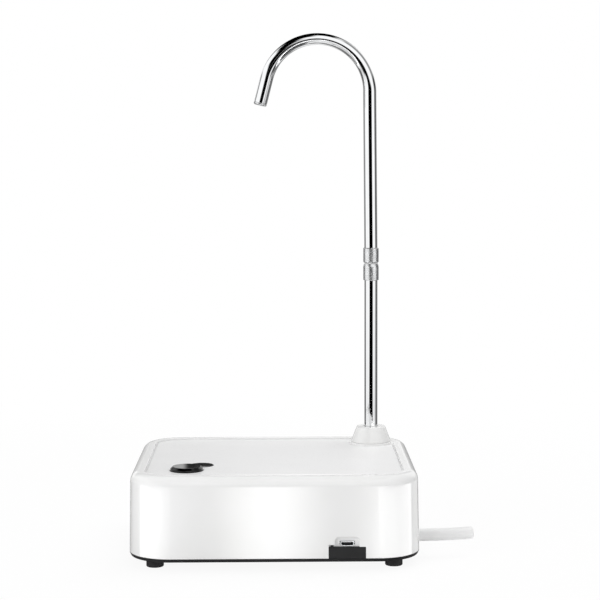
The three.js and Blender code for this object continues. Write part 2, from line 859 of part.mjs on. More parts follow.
function makeElbow() {
  const chamber = elbowSpigot - elbowSpigotWall;
  const rimHeight = socketBottom - fit;
  const cup = turned([
    [0, elbowBottom],
    [elbowRadius, elbowBottom],
    [elbowRadius, rimHeight],
    [elbowSpigot, rimHeight],
    [elbowSpigot, socketBottom + clipChamberDepth - fit],
    [chamber, socketBottom + clipChamberDepth - fit],
    [chamber, elbowBottom + elbowWall],
    [0, elbowBottom + elbowWall],
  ]);
  const port = alongY(barb(-elbowRadius, -elbowRadius - portLength, chamber));
  const water = alongY(rod(portBore, -elbowRadius - portLength - overrun, 0, smallSides));
  return cut(
    join(cup, port.translate(0, 0, elbowPortHeight)),
    water.translate(0, 0, elbowPortHeight),
  );
}

// A ribbed hose nipple from its root to its tip, with a plain part that reaches into a wall
function barb(root, tip, buried) {
  const way = Math.sign(tip - root);
  const third = portLength / 3;
  const start = way * (Math.abs(root) - (Math.abs(root) - buried) / 2);
  const profile = [
    [0, start],
    [portRadius, start],
    [portRadius, root + way * third],
    [portBarb, root + way * third],
    [portRadius, root + 2 * way * third],
    [portBarb, root + 2 * way * third],
    [portRadius, tip],
    [0, tip],
  ];
  return turned(profile, smallSides);
}

// The line of the gooseneck: a riser that leans a little, a round bend and a straight outlet
class GooseneckLine extends THREE.Curve {
  constructor() {
    super();
    this.lean = THREE.MathUtils.degToRad(riserLean);
    this.last = THREE.MathUtils.degToRad(outletAngle);
    this.bottom = seamHeight + seamGap / 2;
  }

  // The line is stepped evenly in t: one step for each straight and the rest round the bend
  getUtoTmapping(u) {
    return u;
  }

  bendPoint(angle) {
    const rise = bendHeight - this.bottom;
    const x = -rise * Math.tan(this.lean) + bendRadius * (Math.cos(angle) - Math.cos(this.lean));
    const z = bendHeight + bendRadius * (Math.sin(angle) - Math.sin(this.lean));
    return new THREE.Vector3(x, 0, z);
  }

  getPoint(t, target = new THREE.Vector3()) {
    const step = t * (bendSteps + 2);
    if (step < 1) {
      const start = new THREE.Vector3(0, 0, this.bottom);
      return target.copy(start.lerp(this.bendPoint(this.lean), step));
    }
    const turn = Math.min((step - 1) / bendSteps, 1);
    target.copy(this.bendPoint(this.lean + (this.last - this.lean) * turn));
    const beyond = Math.max(step - 1 - bendSteps, 0);
    return target.addScaledVector(this.wayAt(this.last), beyond * outletLength);
  }

  wayAt(angle) {
    return new THREE.Vector3(-Math.sin(angle), 0, Math.cos(angle));
  }

  // A tube bent this tightly loses some of its depth on the inner side, most of it at the crown
  flatten(geometry) {
    const start = this.bendPoint(this.lean);
    const centreX = start.x - bendRadius * Math.cos(this.lean);
    const centreZ = start.z - bendRadius * Math.sin(this.lean);
    const outside = bendRadius + tubeRadius;
    const corner = geometry.attributes.position;
    for (let i = 0; i < corner.count; i += 1) {
      const x = corner.getX(i) - centreX;
      const z = corner.getZ(i) - centreZ;
      const turn = (Math.atan2(z, x) - this.lean) / (this.last - this.lean);
      if (turn <= 0 || turn >= 1) continue;
      const lost = (bendFlattening / (2 * tubeRadius)) * Math.sin(Math.PI * turn);
      const reach = Math.hypot(x, z);
      const share = (reach + (outside - reach) * lost) / reach;
      corner.setX(i, centreX + x * share);
      corner.setZ(i, centreZ + z * share);
    }
    return geometry;
  }

  getTangent(t, target = new THREE.Vector3()) {
    const turn = Math.min(Math.max((t * (bendSteps + 2) - 1) / bendSteps, 0), 1);
    return target.copy(this.wayAt(this.lean + (this.last - this.lean) * turn));
  }
}

// A short steel sleeve with its two ends chamfered
function sleeve(bottom, top, lowChamfer, highChamfer) {
  const bore = tubeRadius + fit;
  return turned([
    [bore, bottom],
    [sleeveRadius - sleeveChamfer, bottom],
    [sleeveRadius, bottom + lowChamfer],
    [sleeveRadius, top - highChamfer],
    [sleeveRadius - sleeveChamfer, top],
    [bore, top],
  ], shownSides);
}

// A clip that snaps on the tube, open on one side
function makeClip() {
  const top = socketBottom + clipChamberDepth - runningGap - fit;
  return cut(
    pipe(clipRadius, tubeRadius + fit, top - clipThickness, top, shownSides),
    box(0, 2 * clipRadius, -clipOpening / 2, clipOpening / 2, 0, 2 * top),
  );
}

// Everything that turns in the socket: the tube, its coupling and the gooseneck
function makeSpout() {
  const group = new THREE.Group();
  group.position.set(spoutX, spoutY, 0);
  const bore = tubeRadius - tubeWall;
  const lowerEnd = seamHeight - seamGap / 2;
  const upperStart = seamHeight + seamGap / 2;
  const line = new GooseneckLine();
  const neck = line.flatten(hose(line, tubeRadius, bore, shownSides, bendSteps + 2));
  const nipple = pipe(
    bore - fit, bore - fit - nippleWall, lowerEnd - nippleReach, upperStart + nippleReach,
    shownSides,
  );
  const seal = pipe(
    tubeRadius, bore + fit, lowerEnd + fit, upperStart - fit, shownSides,
  );
  const endAngle = line.last;
  const end = line.getPoint(1);
  const tip = makeTip().rotateY(-endAngle).translate(end.x, end.y, end.z);
  group.add(
    piece('lower_tube', pipe(tubeRadius, bore, tubeBottom, lowerEnd, shownSides), polishedSteel()),
    piece('spout_clip', makeClip(), zincSteel()),
    piece(
      'lower_sleeve',
      sleeve(lowerEnd - lowerSleeveLength, lowerEnd, sleeveChamfer / 2, sleeveChamferHeight),
      satinSteel(),
    ),
    piece('coupling_nipple', nipple, satinSteel()),
    piece('coupling_seal', seal, silicone()),
    piece(
      'upper_sleeve',
      sleeve(upperStart, upperStart + upperSleeveLength, sleeveChamfer, sleeveChamfer),
      satinSteel(),
    ),
    piece('gooseneck', neck, polishedSteel()),
    piece('outlet_tip', tip, polishedSteel()),
  );
  return group;
}

// The rounded nose pressed into the outlet, built upwards from the tube's end at height 0
function makeTip() {
  const half = Math.PI / 4;
  const round = tubeRadius - tipRim;
  const edge = tipLength - fit;
  return turned([
    [tipBore, -tipSpigotLength],
    [tubeRadius - tubeWall - fit, -tipSpigotLength],
    [tubeRadius - tubeWall - fit, fit],
    [tubeRadius, fit],
    [tubeRadius, edge - round],
    [tubeRadius - round * (1 - Math.cos(half)), edge - round * (1 - Math.sin(half))],
    [tipRim, edge],
    [tipBore, edge],
  ], shownSides);
}

// The button cap, whose stem stands over the switch, and the plunger that it pushes
function makeButton() {
  const group = new THREE.Group();
  group.position.set(buttonX, buttonY, 0);
  const top = trayFloor + capRise;
  const flangeTop = ceiling - runningGap;
  const skirtBottom = flangeTop - capFlangeHeight;
  const plungerTop = buttonBoardHeight + switchHeight + plungerProud;
  const stemBottom = plungerTop + runningGap;
  group.add(piece('button_cap', turned([
    [0, stemBottom],
    [capStem, stemBottom],
    [capStem, top - capRoof],
    [capRadius - capWall, top - capRoof],
    [capRadius - capWall, skirtBottom],
    [capFlange, skirtBottom],
    [capFlange, flangeTop],
    [capRadius, flangeTop],
    [capRadius, top - capBevel],
    [capTopRadius + capSoftEdge, top - capSoftEdge],
    [capTopRadius - capSoftEdge, top],
    [0, top],
  ], shownSides), finish(0x0c0c0d, 0.12)));
  const plungerBottom = buttonBoardHeight + switchFloor + runningGap + buttonTravel;
  group.add(piece(
    'switch_plunger',
    rod(plungerRadius, plungerBottom, plungerTop, smallSides),
    finish(0x1a1a1b, 0.5),
  ));
  return group;
}

// The black lens that lies flush in the tray beside the button
function makeLens() {
  const flange = lensRadius + lensFlange;
  const flangeTop = ceiling - fit;
  const bite = capFlange + runningGap;
  const disc = rod(lensRadius, flangeTop - lensFlangeHeight / 2, trayFloor + lensProud, shownSides);
  const lower = rod(flange, flangeTop - lensFlangeHeight, flangeTop, shownSides);
  const under = rod(bite, flangeTop - lensFlangeHeight - overrun, flangeTop + fit, shownSides);
  return cut(join(disc, lower), under.translate(-lensOffsetX, -lensOffsetY, 0));
}

// The lens, the small board under the button, and the switch and light on it
function makeButtonBoard() {
  const group = new THREE.Group();
  const lens = piece('indicator_lens', makeLens(), finish(0x101012, 0.08));
  group.add(placed(lens, lensX, lensY, 0));
  const bottom = buttonBoardHeight - boardThickness;
  const sheet = box(
    -buttonBoardHalfX, buttonBoardHalfX, -buttonBoardHalfY, buttonBoardHalfY,
    bottom, buttonBoardHeight,
  );
  const holes = stakes.map(([sx, sy]) => (
    rod(stakeRadius + stakeClearance, bottom - overrun, buttonBoardHeight + overrun, smallSides)
      .translate(sx * (buttonBoardHalfX - stakeInset), sy * (buttonBoardHalfY - stakeInset), 0)
  ));
  const board = piece('button_board', cut(sheet, ...holes), circuitGreen());
  group.add(placed(board, buttonBoardX, buttonBoardY, 0));
  const half = switchSize / 2;
  const switchTop = buttonBoardHeight + switchHeight;
  const switchBody = cut(
    box(-half, half, -half, half, buttonBoardHeight, switchTop),
    rod(
      plungerRadius + runningGap, buttonBoardHeight + switchFloor, switchTop + overrun,
      smallSides,
    ),
  );
  group.add(placed(piece('switch_body', switchBody, satinSteel()), buttonX, buttonY, 0));
  const led = box(
    -ledWidth / 2, ledWidth / 2, -ledDepth / 2, ledDepth / 2,
    buttonBoardHeight, buttonBoardHeight + ledHeight,
  );
  group.add(placed(piece('indicator_led', led, finish(0xe9e4cf, 0.3)), lensX, lensY, 0));
  return group;
}

// An upright board connector, open at the top
function plugHousing() {
  const x = plugWidth / 2;
  const y = plugDepth / 2;
  return cut(
    box(-x, x, -y, y, boardTop, boardTop + plugHeight),
    box(
      plugWall - x, x - plugWall, plugWall - y, y - plugWall,
      boardTop + plugWall, boardTop + plugHeight + overrun,
    ),
  );
}

const plugRow = boardY + boardDepth / 2 - plugDepth;
const batteryPlugX = boardX - boardWidth / 4;
const motorPlugX = batteryPlugX + 1.5 * plugWidth;

// The main board with its charging socket and the parts soldered on it
function makeElectronics() {
  const group = new THREE.Group();
  const left = boardX - boardWidth / 2;
  const sheet = box(
    left, left + boardWidth, boardFront, boardFront + boardDepth, boardBottom, boardTop,
  );
  const [screwX, screwY] = boardPosts[1];
  const hole = rod(screwRadius + fit, boardBottom - overrun, boardTop + overrun, smallSides);
  group.add(piece('main_board', cut(sheet, hole.translate(screwX, screwY, 0)), circuitGreen()));
  const inner = socketSection(
    usbShellWidth - 2 * usbShellWall, usbShellHeight - 2 * usbShellWall,
  );
  const shell = socketPrism(usbShellWidth, usbShellHeight, usbFront, usbShellLength, inner);
  group.add(piece('usb_shell', shell.translate(0, 0, fit), satinSteel()));
  const shrink = 2 * (usbShellWall + fit);
  const back = socketPrism(
    usbShellWidth - shrink, usbShellHeight - shrink,
    usbFront + usbShellLength - usbBackLength, usbBackLength,
  );
  const tongueTop = usbHeight + usbShellHeight / 2 - usbShellWall - usbTongueHeight / 2;
  const tongue = box(
    usbX - usbTongueWidth / 2, usbX + usbTongueWidth / 2,
    usbFront + usbTongueHeight, usbFront + usbShellLength - usbBackLength / 2,
    tongueTop - usbTongueHeight, tongueTop,
  );
  group.add(piece('usb_tongue', join(back, tongue).translate([0, 0, fit]), blackPlastic()));
  const chip = box(
    -chipSize / 2, chipSize / 2, -chipSize / 2, chipSize / 2, boardTop, boardTop + chipHeight,
  );
  group.add(placed(piece('charge_chip', chip, blackPlastic()), boardX + 2 * chipSize, boardY, 0));
  const capTop = boardTop + capacitorHeight;
  const neck = capacitorRadius / 8;
  const can = turned([
    [0, boardTop],
    [capacitorRadius, boardTop],
    [capacitorRadius, boardTop + neck],
    [capacitorRadius - neck, boardTop + 2 * neck],
    [capacitorRadius, boardTop + 3 * neck],
    [capacitorRadius, capTop - neck],
    [capacitorRadius - neck, capTop],
    [0, capTop],
  ], smallSides);
  group.add(placed(
    piece('capacitor', can, finish(0x1c2430, 0.35)),
    boardX - boardWidth / 2 + 2 * capacitorRadius, boardFront + 2 * capacitorRadius, 0,
  ));
  group.add(placed(
    piece('battery_connector', plugHousing(), finish(0xf0ead8, 0.5)), batteryPlugX, plugRow, 0,
  ));
  group.add(placed(
    piece('motor_connector', plugHousing(), finish(0xf0ead8, 0.5)), motorPlugX, plugRow, 0,
  ));
  const fixing = piece('board_screw', wholeScrew(shortScrewLength - fit), zincSteel());
  group.add(placed(fixing, screwX, screwY, boardTop + screwHeadHeight));
  return group;
}

// An arch over a cylinder along Y, with legs that reach down on both sides
function arch(reach, thickness, width, leftBottom, rightBottom) {
  const outer = reach + thickness;
  const outline = new THREE.Shape();
  outline.moveTo(outer, rightBottom);
  outline.lineTo(outer, 0);
  outline.absarc(0, 0, outer, 0, Math.PI, false);
  outline.lineTo(-outer, leftBottom);
  outline.lineTo(-reach, leftBottom);
  outline.absarc(0, 0, reach, Math.PI, 0, true);
  outline.lineTo(reach, rightBottom);
  const settings = { depth: width, bevelEnabled: false, curveSegments: cornerSteps };
  return new THREE.ExtrudeGeometry(outline, settings)
    .rotateX(Math.PI / 2)
    .translate(0, width / 2, 0);
}

function makeBattery() {
  const group = new THREE.Group();
  const half = batteryLength / 2;
  const round = terminalGroove;
  const cell = turned([
    [0, -half],
    [batteryRadius - round, -half],
    [batteryRadius, round - half],
    [batteryRadius, half - 6 * round],
    [batteryRadius - round, half - 5 * round],
    [batteryRadius, half - 4 * round],
    [batteryRadius, half - round],
    [batteryRadius - round, half],
    [terminalRadius, half],
    [terminalRadius, half + terminalHeight],
    [0, half + terminalHeight],
  ], shownSides);
  const battery = piece('battery_cell', alongY(cell), finish(0x2f6fb0, 0.35));
  group.add(placed(battery, batteryX, batteryY, batteryHeight));
  const legBottom = plateTop + fit - batteryHeight;
  const strap = arch(strapReach, strapThickness, strapWidth, legBottom, legBottom);
  const holder = piece('battery_strap', strap, blackPlastic());
  group.add(placed(holder, batteryX, batteryY, batteryHeight));
  return group;
}

const capRear = 0;
const canFront = motorLength;
const bodyStart = canFront + runningGap;
const boreStart = bodyStart + pumpBodyBack;
const bodyEnd = bodyStart + pumpBodyLength;
const sheetStart = bodyEnd + runningGap;
const valveStart = sheetStart + diaphragmThickness + runningGap;
const headStart = valveStart + valvePlateThickness + runningGap;
const headEnd = headStart + headThickness;
const eccentricStart = boreStart + eccentricGap;
const eccentricEnd = eccentricStart + eccentricLength;
const screwDiagonals = [[1, 1], [-1, -1]];
const screwOffset = pumpScrewCircle / Math.SQRT2;
const cupAngles = [0, 1, 2].map((turn) => (2 * turn * Math.PI) / 3);

function squareSlab(bottom, top) {
  return slab(roundedRectangle(pumpWidth, pumpWidth, pumpCorner), bottom, top, 2);
}

// Clearance holes for the long screws that hold the pump's layers together
function screwHoles(bottom, top) {
  return screwDiagonals.map(([sx, sy]) => (
    rod(pumpScrewRadius + runningGap / 2, bottom, top, smallSides)
      .translate(sx * screwOffset, sy * screwOffset, 0)
  ));
}

function makeMotorCan() {
  const inner = motorRadius - motorWall;
  return turned([
    [inner, endCapRim + fit],
    [motorRadius, endCapRim + fit],
    [motorRadius, canFront],
    [bearingHole, canFront],
    [bearingHole, canFront - motorWall],
    [inner, canFront - motorWall],
  ], shownSides);
}

function makeEndCap() {
  const spigot = motorRadius - motorWall - fit;
  const disc = turned([
    [bearingHole, capRear],
    [motorRadius, capRear],
    [motorRadius, endCapRim],
    [spigot, endCapRim],
    [spigot, endCapRim + endCapSpigot],
    [bearingHole, endCapRim + endCapSpigot],
  ]);
  const tags = [-1, 1].map((side) => box(
    side * terminalSpread - terminalWidth / 2, side * terminalSpread + terminalWidth / 2,
    -terminalThickness / 2, terminalThickness / 2,
    capRear - terminalLength, endCapRim,
  ));
  return join(disc, ...tags);
}

// The wound core on the shaft, with three slots, and the commutator behind it
function makeArmature() {
  const bore = shaftRadius + fit;
  const end = armatureStart + armatureLength;
  const hubStart = endCapRim + endCapSpigot + runningGap;
  const core = turned([
    [bore, hubStart],
    [commutatorRadius, hubStart],
    [commutatorRadius, armatureStart - overrun],
    [armatureHub, armatureStart - overrun],
    [armatureHub, armatureStart],
    [armatureRadius, armatureStart],
    [armatureRadius, end],
    [bore, end],
  ], shownSides);
  const slots = cupAngles.map((angle) => box(
    armatureHub, armatureRadius + overrun,
    -armatureSlot / 2, armatureSlot / 2,
    armatureStart - overrun, end + overrun,
  ).rotateZ(angle));
  return cut(core, ...slots);
}

// The disc on the motor shaft, whose crank pin drives the wobble plate
function makeEccentric() {
  const pin = rod(crankRadius, eccentricEnd - overrun, eccentricEnd + crankLength, smallSides);
  return cut(
    join(rod(eccentricRadius, eccentricStart, eccentricEnd), pin.translate(crankOffset, 0, 0)),
    rod(shaftRadius + fit, eccentricStart - overrun, eccentricEnd - overrun, smallSides),
  );
}

function makePumpBody() {
  return cut(
    squareSlab(bodyStart, bodyEnd),
    rod(pumpBore, boreStart, bodyEnd + overrun, shownSides),
    rod(pumpBoreBack, bodyStart - overrun, boreStart + overrun),
    ...screwHoles(boreStart, bodyEnd + overrun),
  );
}

function makeWobblePlate() {
  const armEnd = sheetStart - 2 * runningGap;
  const armStart = armEnd - wobbleThickness;
  const hub = cut(
    rod(wobbleHub, armStart - wobbleSkirt, armEnd),
    rod(wobbleBore, armStart - wobbleSkirt - overrun, armStart),
  );
  const arms = cupAngles.map((angle) => box(
    wobbleBore, wobbleArm, -wobbleArmWidth / 2, wobbleArmWidth / 2, armStart, armEnd,
  ).rotateZ(angle));
  return join(hub, ...arms);
}

function makeDiaphragm() {
  const cups = cupAngles.map((angle) => (
    rod(cupRadius, sheetStart - runningGap, sheetStart + diaphragmThickness / 2, smallSides)
      .translate(cupCircle, 0, 0)
      .rotateZ(angle)
  ));
  return cut(
    join(squareSlab(sheetStart, sheetStart + diaphragmThickness), ...cups),
    ...screwHoles(sheetStart - overrun, valveStart),
  );
}

function makeValvePlate() {
  const end = valveStart + valvePlateThickness;
  const chambers = cupAngles.flatMap((angle) => [
    rod(valvePocket, valveStart - overrun, valveStart + valvePocketDepth)
      .translate(cupCircle, 0, 0)
      .rotateZ(angle),
    rod(valveHole, valveStart, end + overrun, smallSides)
      .translate(cupCircle, 0, 0)
      .rotateZ(angle),
  ]);
  return cut(
    squareSlab(valveStart, end),
    ...chambers,
    ...screwHoles(valveStart - overrun, end + overrun),
  );
}

function makePumpHead() {
  const ports = [-1, 1].map((side) => (
    barb(headEnd, headEnd + portLength, headStart + headPocketDepth)
      .translate(side * portSpread, 0, 0)
  ));
  const water = [-1, 1].flatMap((side) => [
    rod(headPocket, headStart - overrun, headStart + headPocketDepth)
      .translate(side * portSpread, 0, 0),
    rod(portBore, headStart, headEnd + portLength + overrun, smallSides)
      .translate(side * portSpread, 0, 0),
  ]);
  return cut(
    join(squareSlab(headStart, headEnd), ...ports),
    ...water,
    ...screwHoles(headStart - overrun, headEnd + overrun),
  );
}

// The motor and the pump head, built along Z from the back of the motor and laid along X
function makePump() {
  const group = new THREE.Group();
  group.rotation.y = Math.PI / 2;
  group.position.set(pumpBack, pumpY, pumpHeight);
  const shaftEnd = eccentricEnd - overrun - runningGap;
  group.add(
    piece('motor_can', makeMotorCan(), zincSteel()),
    piece('motor_end_cap', makeEndCap(), blackPlastic()),
    piece('armature', makeArmature(), copper()),
    piece('motor_shaft', rod(shaftRadius, capRear, shaftEnd, smallSides), polishedSteel()),
    piece('eccentric', makeEccentric(), whitePlastic()),
    piece('pump_body', makePumpBody(), greyPlastic()),
    piece('wobble_plate', makeWobblePlate(), finish(0xd8d8d2, 0.4)),
    piece('diaphragm', makeDiaphragm(), blackRubber()),
    piece('valve_plate', makeValvePlate(), whitePlastic()),
    piece('pump_head', makePumpHead(), greyPlastic()),
  );
  screwDiagonals.forEach(([sx, sy], i) => {
    const fixing = screw(pumpScrewHead, screwHeadHeight, pumpScrewRadius, pumpScrewLength);
    group.add(placed(
      piece(`pump_screw_${i + 1}`, fixing, zincSteel()),
      sx * screwOffset, sy * screwOffset, headEnd + screwHeadHeight + runningGap,
    ));
  });
  return group;
}

// The band over the motor: one leg stands in a pocket, the other ends in a screwed flange
function makeMotorClamp() {
  const group = new THREE.Group();
  const flangeTop = clampFlangeHeight + clampThickness;
  const outer = clampReach + clampThickness;
  const legBottom = plateTop + fit - pumpHeight;
  const band = arch(
    clampReach, clampThickness, clampWidth,
    legBottom, clampFlangeHeight + clampThickness / 2 - pumpHeight,
  );
  const flange = box(
    outer - clampThickness / 2, outer + clampFlange, -clampWidth / 2, clampWidth / 2,
    clampFlangeHeight - pumpHeight, flangeTop - pumpHeight,
  );
  const hole = rod(
    screwRadius + fit, clampFlangeHeight - pumpHeight - overrun, flangeTop - pumpHeight + overrun,
    smallSides,
  ).translate(clampScrewY - pumpY, 0, 0);
  const clamp = piece('motor_clamp', cut(join(band, flange), hole), blackPlastic());
  clamp.rotation.z = Math.PI / 2;
  group.add(placed(clamp, clampX, pumpY, pumpHeight));
  const fixing = piece('clamp_screw', wholeScrew(shortScrewLength - fit), zincSteel());
  group.add(placed(fixing, clampX, clampScrewY, flangeTop + screwHeadHeight));
  return group;
}

// The soft grommet in the side wall, flush with the housing outside
function makeGrommet() {
  const bore = hoseRadius + runningGap;
  const innerFace = sideX - wall - fit;
  return alongX(turned([
    [bore, innerFace - grommetFlangeThickness],
    [grommetFlange, innerFace - grommetFlangeThickness],
    [grommetFlange, innerFace],
    [grommetNeck, innerFace],
    [grommetNeck, sideX - grommetFlangeThickness],
    [grommetFlange, sideX - grommetFlangeThickness],
    [grommetFlange, sideX - fit],
    [bore, sideX - fit],
  ]));
}

// The straight fitting inside the base that joins the suction hose to the pump's hose
function makeInletFitting() {
  const half = fittingFlangeThickness / 2;
  const nipple = (way, length) => (
    turned([
      [0, 0],
      [portRadius, 0],
      [portRadius, half + length / 2],
      [portBarb, half + length / 2],
      [portRadius, half + length],
      [0, half + length],
    ], smallSides).applyMatrix4(new THREE.Matrix4().makeScale(1, 1, way))
  );
  const reach = half + fittingBarbLength + overrun;
  return cut(
    join(
      rod(fittingFlange, -half, half),
      nipple(1, fittingBarbLength),
      nipple(-1, portLength),
    ),
    rod(portBore, -reach, reach, smallSides),
  );
}

const toRight = new THREE.Vector3(1, 0, 0);
const toFront = new THREE.Vector3(0, -1, 0);

// The free hose, and the two hoses inside the base
function makeHoses() {
  const group = new THREE.Group();
  const grommet = piece('hose_grommet', makeGrommet(), silicone());
  group.add(placed(grommet, 0, hoseY, hoseHeight));
  const fitting = piece('inlet_fitting', makeInletFitting(), greyPlastic());
  fitting.rotation.y = Math.PI / 2;
  group.add(placed(fitting, fittingX, hoseY, hoseHeight));
  const free = new THREE.CatmullRomCurve3(suctionRoute.map((at) => new THREE.Vector3(...at)));
  group.add(piece(
    'suction_hose', hose(free, hoseRadius, hoseBore, hoseSides, suctionSteps), silicone(),
  ));
  const headFace = pumpBack + headEnd + runningGap;
  const flangeFace = fittingX - fittingFlangeThickness / 2 - runningGap;
  const straight = portLength + runningGap;
  const pull = 0.4; // share of the span that each end keeps its direction
  const inlet = easedRoute(
    new THREE.Vector3(headFace, pumpY, pumpHeight - portSpread), toRight, straight,
    new THREE.Vector3(flangeFace, hoseY, hoseHeight), toRight.clone().negate(), straight,
    pull,
  );
  group.add(piece(
    'inlet_hose', hose(inlet, hoseRadius, hoseBore, hoseSides, innerHoseSteps), silicone(),
  ));
  const elbowFace = spoutY - elbowRadius - runningGap;
  const outlet = easedRoute(
    new THREE.Vector3(headFace, pumpY, pumpHeight + portSpread), toRight, straight,
    new THREE.Vector3(spoutX, elbowFace, elbowPortHeight), toFront, straight,
    pull,
  );
  group.add(piece(
    'outlet_hose', hose(outlet, hoseRadius, hoseBore, hoseSides, 2 * innerHoseSteps), silicone(),
  ));
  return group;
}

// The cables between the battery, the motor, the button board and the main board
function makeCables() {
  const group = new THREE.Group();
  const lead = 2 * cableRadius;
  const plugTop = boardTop + plugHeight + runningGap;
  const lane = pumpY - pumpWidth / 2 - lead; // they pass the pump's front on this line
  const cable = (name, points, color) => {
    const route = new THREE.CatmullRomCurve3(points.map((at) => new THREE.Vector3(...at)));
    const solid = hose(route, cableRadius, 0, cableSides, cableSteps);
    group.add(piece(name, solid, finish(color, 0.5)));
  };
  const cellX = batteryX + 2 * terminalRadius;
  const cellFront = batteryY - batteryLength / 2 - runningGap;
  cable('battery_cable', [
    [cellX, cellFront, batteryHeight],
    [cellX, cellFront - 2 * lead, batteryHeight],
    [pumpBack, lane - 2 * lead, batteryHeight],
    [0, lane - 2 * lead, batteryHeight + lead],
    [batteryPlugX, plugRow, plugTop + 2 * lead],
    [batteryPlugX, plugRow, plugTop],
  ], 0xa32222);
  const tagX = pumpBack - terminalLength - runningGap;
  cable('motor_cable', [
    [tagX, pumpY, pumpHeight],
    [tagX - lead, pumpY - lead, pumpHeight],
    [pumpBack, lane, pumpHeight],
    [0, lane, pumpHeight],
    [motorPlugX, plugRow, plugTop + 3 * lead],
    [motorPlugX, plugRow, plugTop],
  ], 0x222222);
  const padX = buttonBoardX + buttonBoardHalfX - lead;
  const padY = buttonBoardY - 2 * lead;
  const padHeight = buttonBoardHeight - boardThickness - runningGap;
  const endX = boardX - boardWidth / 2 + lead;
  cable('button_cable', [
    [padX, padY, padHeight],
    [padX, padY, padHeight - lead],
    [padX, padY - lead, padHeight - 2 * lead],
    [pumpBack, lane - 3 * lead, pumpHeight + 2 * lead],
    [0, lane - 4 * lead, batteryHeight + lead],
    [endX, boardY + lead, boardTop + 3 * lead],
    [endX, boardY + lead, boardTop + runningGap],
  ], 0xd0d0d0);
  return group;
}

const pump = new THREE.Group();
pump.add(
  makeBase(),
  makeSpoutSeat(),
  makeSpout(),
  makeButton(),
  makeButtonBoard(),
  makeElectronics(),
  makeBattery(),
  makePump(),
  makeMotorClamp(),
  makeHoses(),
  makeCables(),
);

export default pump;
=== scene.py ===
import json
import math

import bpy
import numpy as np
from mathutils import Matrix, Vector


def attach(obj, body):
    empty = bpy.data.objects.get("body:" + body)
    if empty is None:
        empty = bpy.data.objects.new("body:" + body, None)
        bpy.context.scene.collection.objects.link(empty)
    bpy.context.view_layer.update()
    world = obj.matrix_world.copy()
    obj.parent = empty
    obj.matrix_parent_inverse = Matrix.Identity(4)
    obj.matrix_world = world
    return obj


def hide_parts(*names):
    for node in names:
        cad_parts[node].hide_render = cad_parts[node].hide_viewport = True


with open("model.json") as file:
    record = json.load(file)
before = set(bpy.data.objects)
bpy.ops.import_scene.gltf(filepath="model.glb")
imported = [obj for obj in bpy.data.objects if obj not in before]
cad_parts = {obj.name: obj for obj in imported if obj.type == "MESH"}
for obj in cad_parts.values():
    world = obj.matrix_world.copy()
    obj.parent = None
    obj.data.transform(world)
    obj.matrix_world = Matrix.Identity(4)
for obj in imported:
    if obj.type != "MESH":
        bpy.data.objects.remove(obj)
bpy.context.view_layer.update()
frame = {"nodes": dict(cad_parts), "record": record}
nodes = frame["nodes"]
milli = 0.001
quarter = math.pi / 2
pole = 0.01  # mm, the radius where a turned face closes round its axis

# The camera stands in front of the pump and looks slightly down on it
cameraView = {
    "place": (3.59, -988.43, 230.62),  # mm
    "lens": 102,  # mm, on a sensor 36 mm wide
    "sensor": 36,
    "down": 5.01,  # degrees below level
    "turn": 0.68,  # degrees towards the right
    "roll": -0.18,
    "near": 0.05, "far": 20,  # m, where its view begins and ends
}


def pick(facts, *keys):
    return [facts[key] for key in keys]


def newObject(name, data):
    made = bpy.data.objects.new(name, data)
    bpy.context.collection.objects.link(made)
    return made


def meshObject(name, points, faces):
    mesh = bpy.data.meshes.new(name)
    mesh.from_pydata(points, [], faces)
    return newObject(name, mesh)


def makeCamera(view):
    down, turn, roll = np.radians(pick(view, "down", "turn", "roll"))
    forward = Vector((
        math.sin(turn) * math.cos(down), math.cos(turn) * math.cos(down), -math.sin(down),
    ))
    level = Vector((math.cos(turn), -math.sin(turn), 0))
    upright = level.cross(forward)
    right = level * math.cos(roll) + upright * math.sin(roll)
    up = upright * math.cos(roll) - level * math.sin(roll)
    data = bpy.data.cameras.new("camera")
    data.lens, data.sensor_width = view["lens"], view["sensor"]
    data.clip_start, data.clip_end = view["near"], view["far"]
    camera = newObject("camera", data)
    turned = Matrix((right, up, -forward)).transposed().to_4x4()
    camera.matrix_world = Matrix.Translation(Vector(view["place"]) * milli) @ turned
    bpy.context.scene.camera = camera


makeCamera(cameraView)
bpy.context.scene.view_settings.view_transform = "Standard"
print("camera set")


# Colours are written as sRGB hex values and turned into linear light here
def linear(hexColour):
    parts = np.array([int(hexColour[i:i + 2], 16) for i in (1, 3, 5)]) / 255
    light = np.where(parts <= 0.04045, parts / 12.92, ((parts + 0.055) / 1.055) ** 2.4)
    return (*light.tolist(), 1.0)


# Adds a node, sets its properties, fills its inputs with values or links, and gives one output
def addNode(tree, kind, inputs=(), give=0, **settings):
    node = tree.nodes.new("ShaderNode" + kind)
    for name, value in settings.items():
        setattr(node, name, value)
    pairs = inputs.items() if isinstance(inputs, dict) else enumerate(inputs)
    for socket, value in pairs:
        if isinstance(value, bpy.types.NodeSocket):
            tree.links.new(value, node.inputs[socket])
        else:
            node.inputs[socket].default_value = value
    return node.outputs[give] if node.outputs else node


def newMaterial(name, **sockets):
    material = bpy.data.materials.new(name)
    material.use_nodes = True
    tree = material.node_tree
    shader = tree.nodes["Principled BSDF"]
    for socket, value in sockets.items():
        shader.inputs[socket.replace("_", " ")].default_value = value
    return material, tree, shader


noiseLevels = (0.3, 0.7)  # most levels of a noise texture lie between these


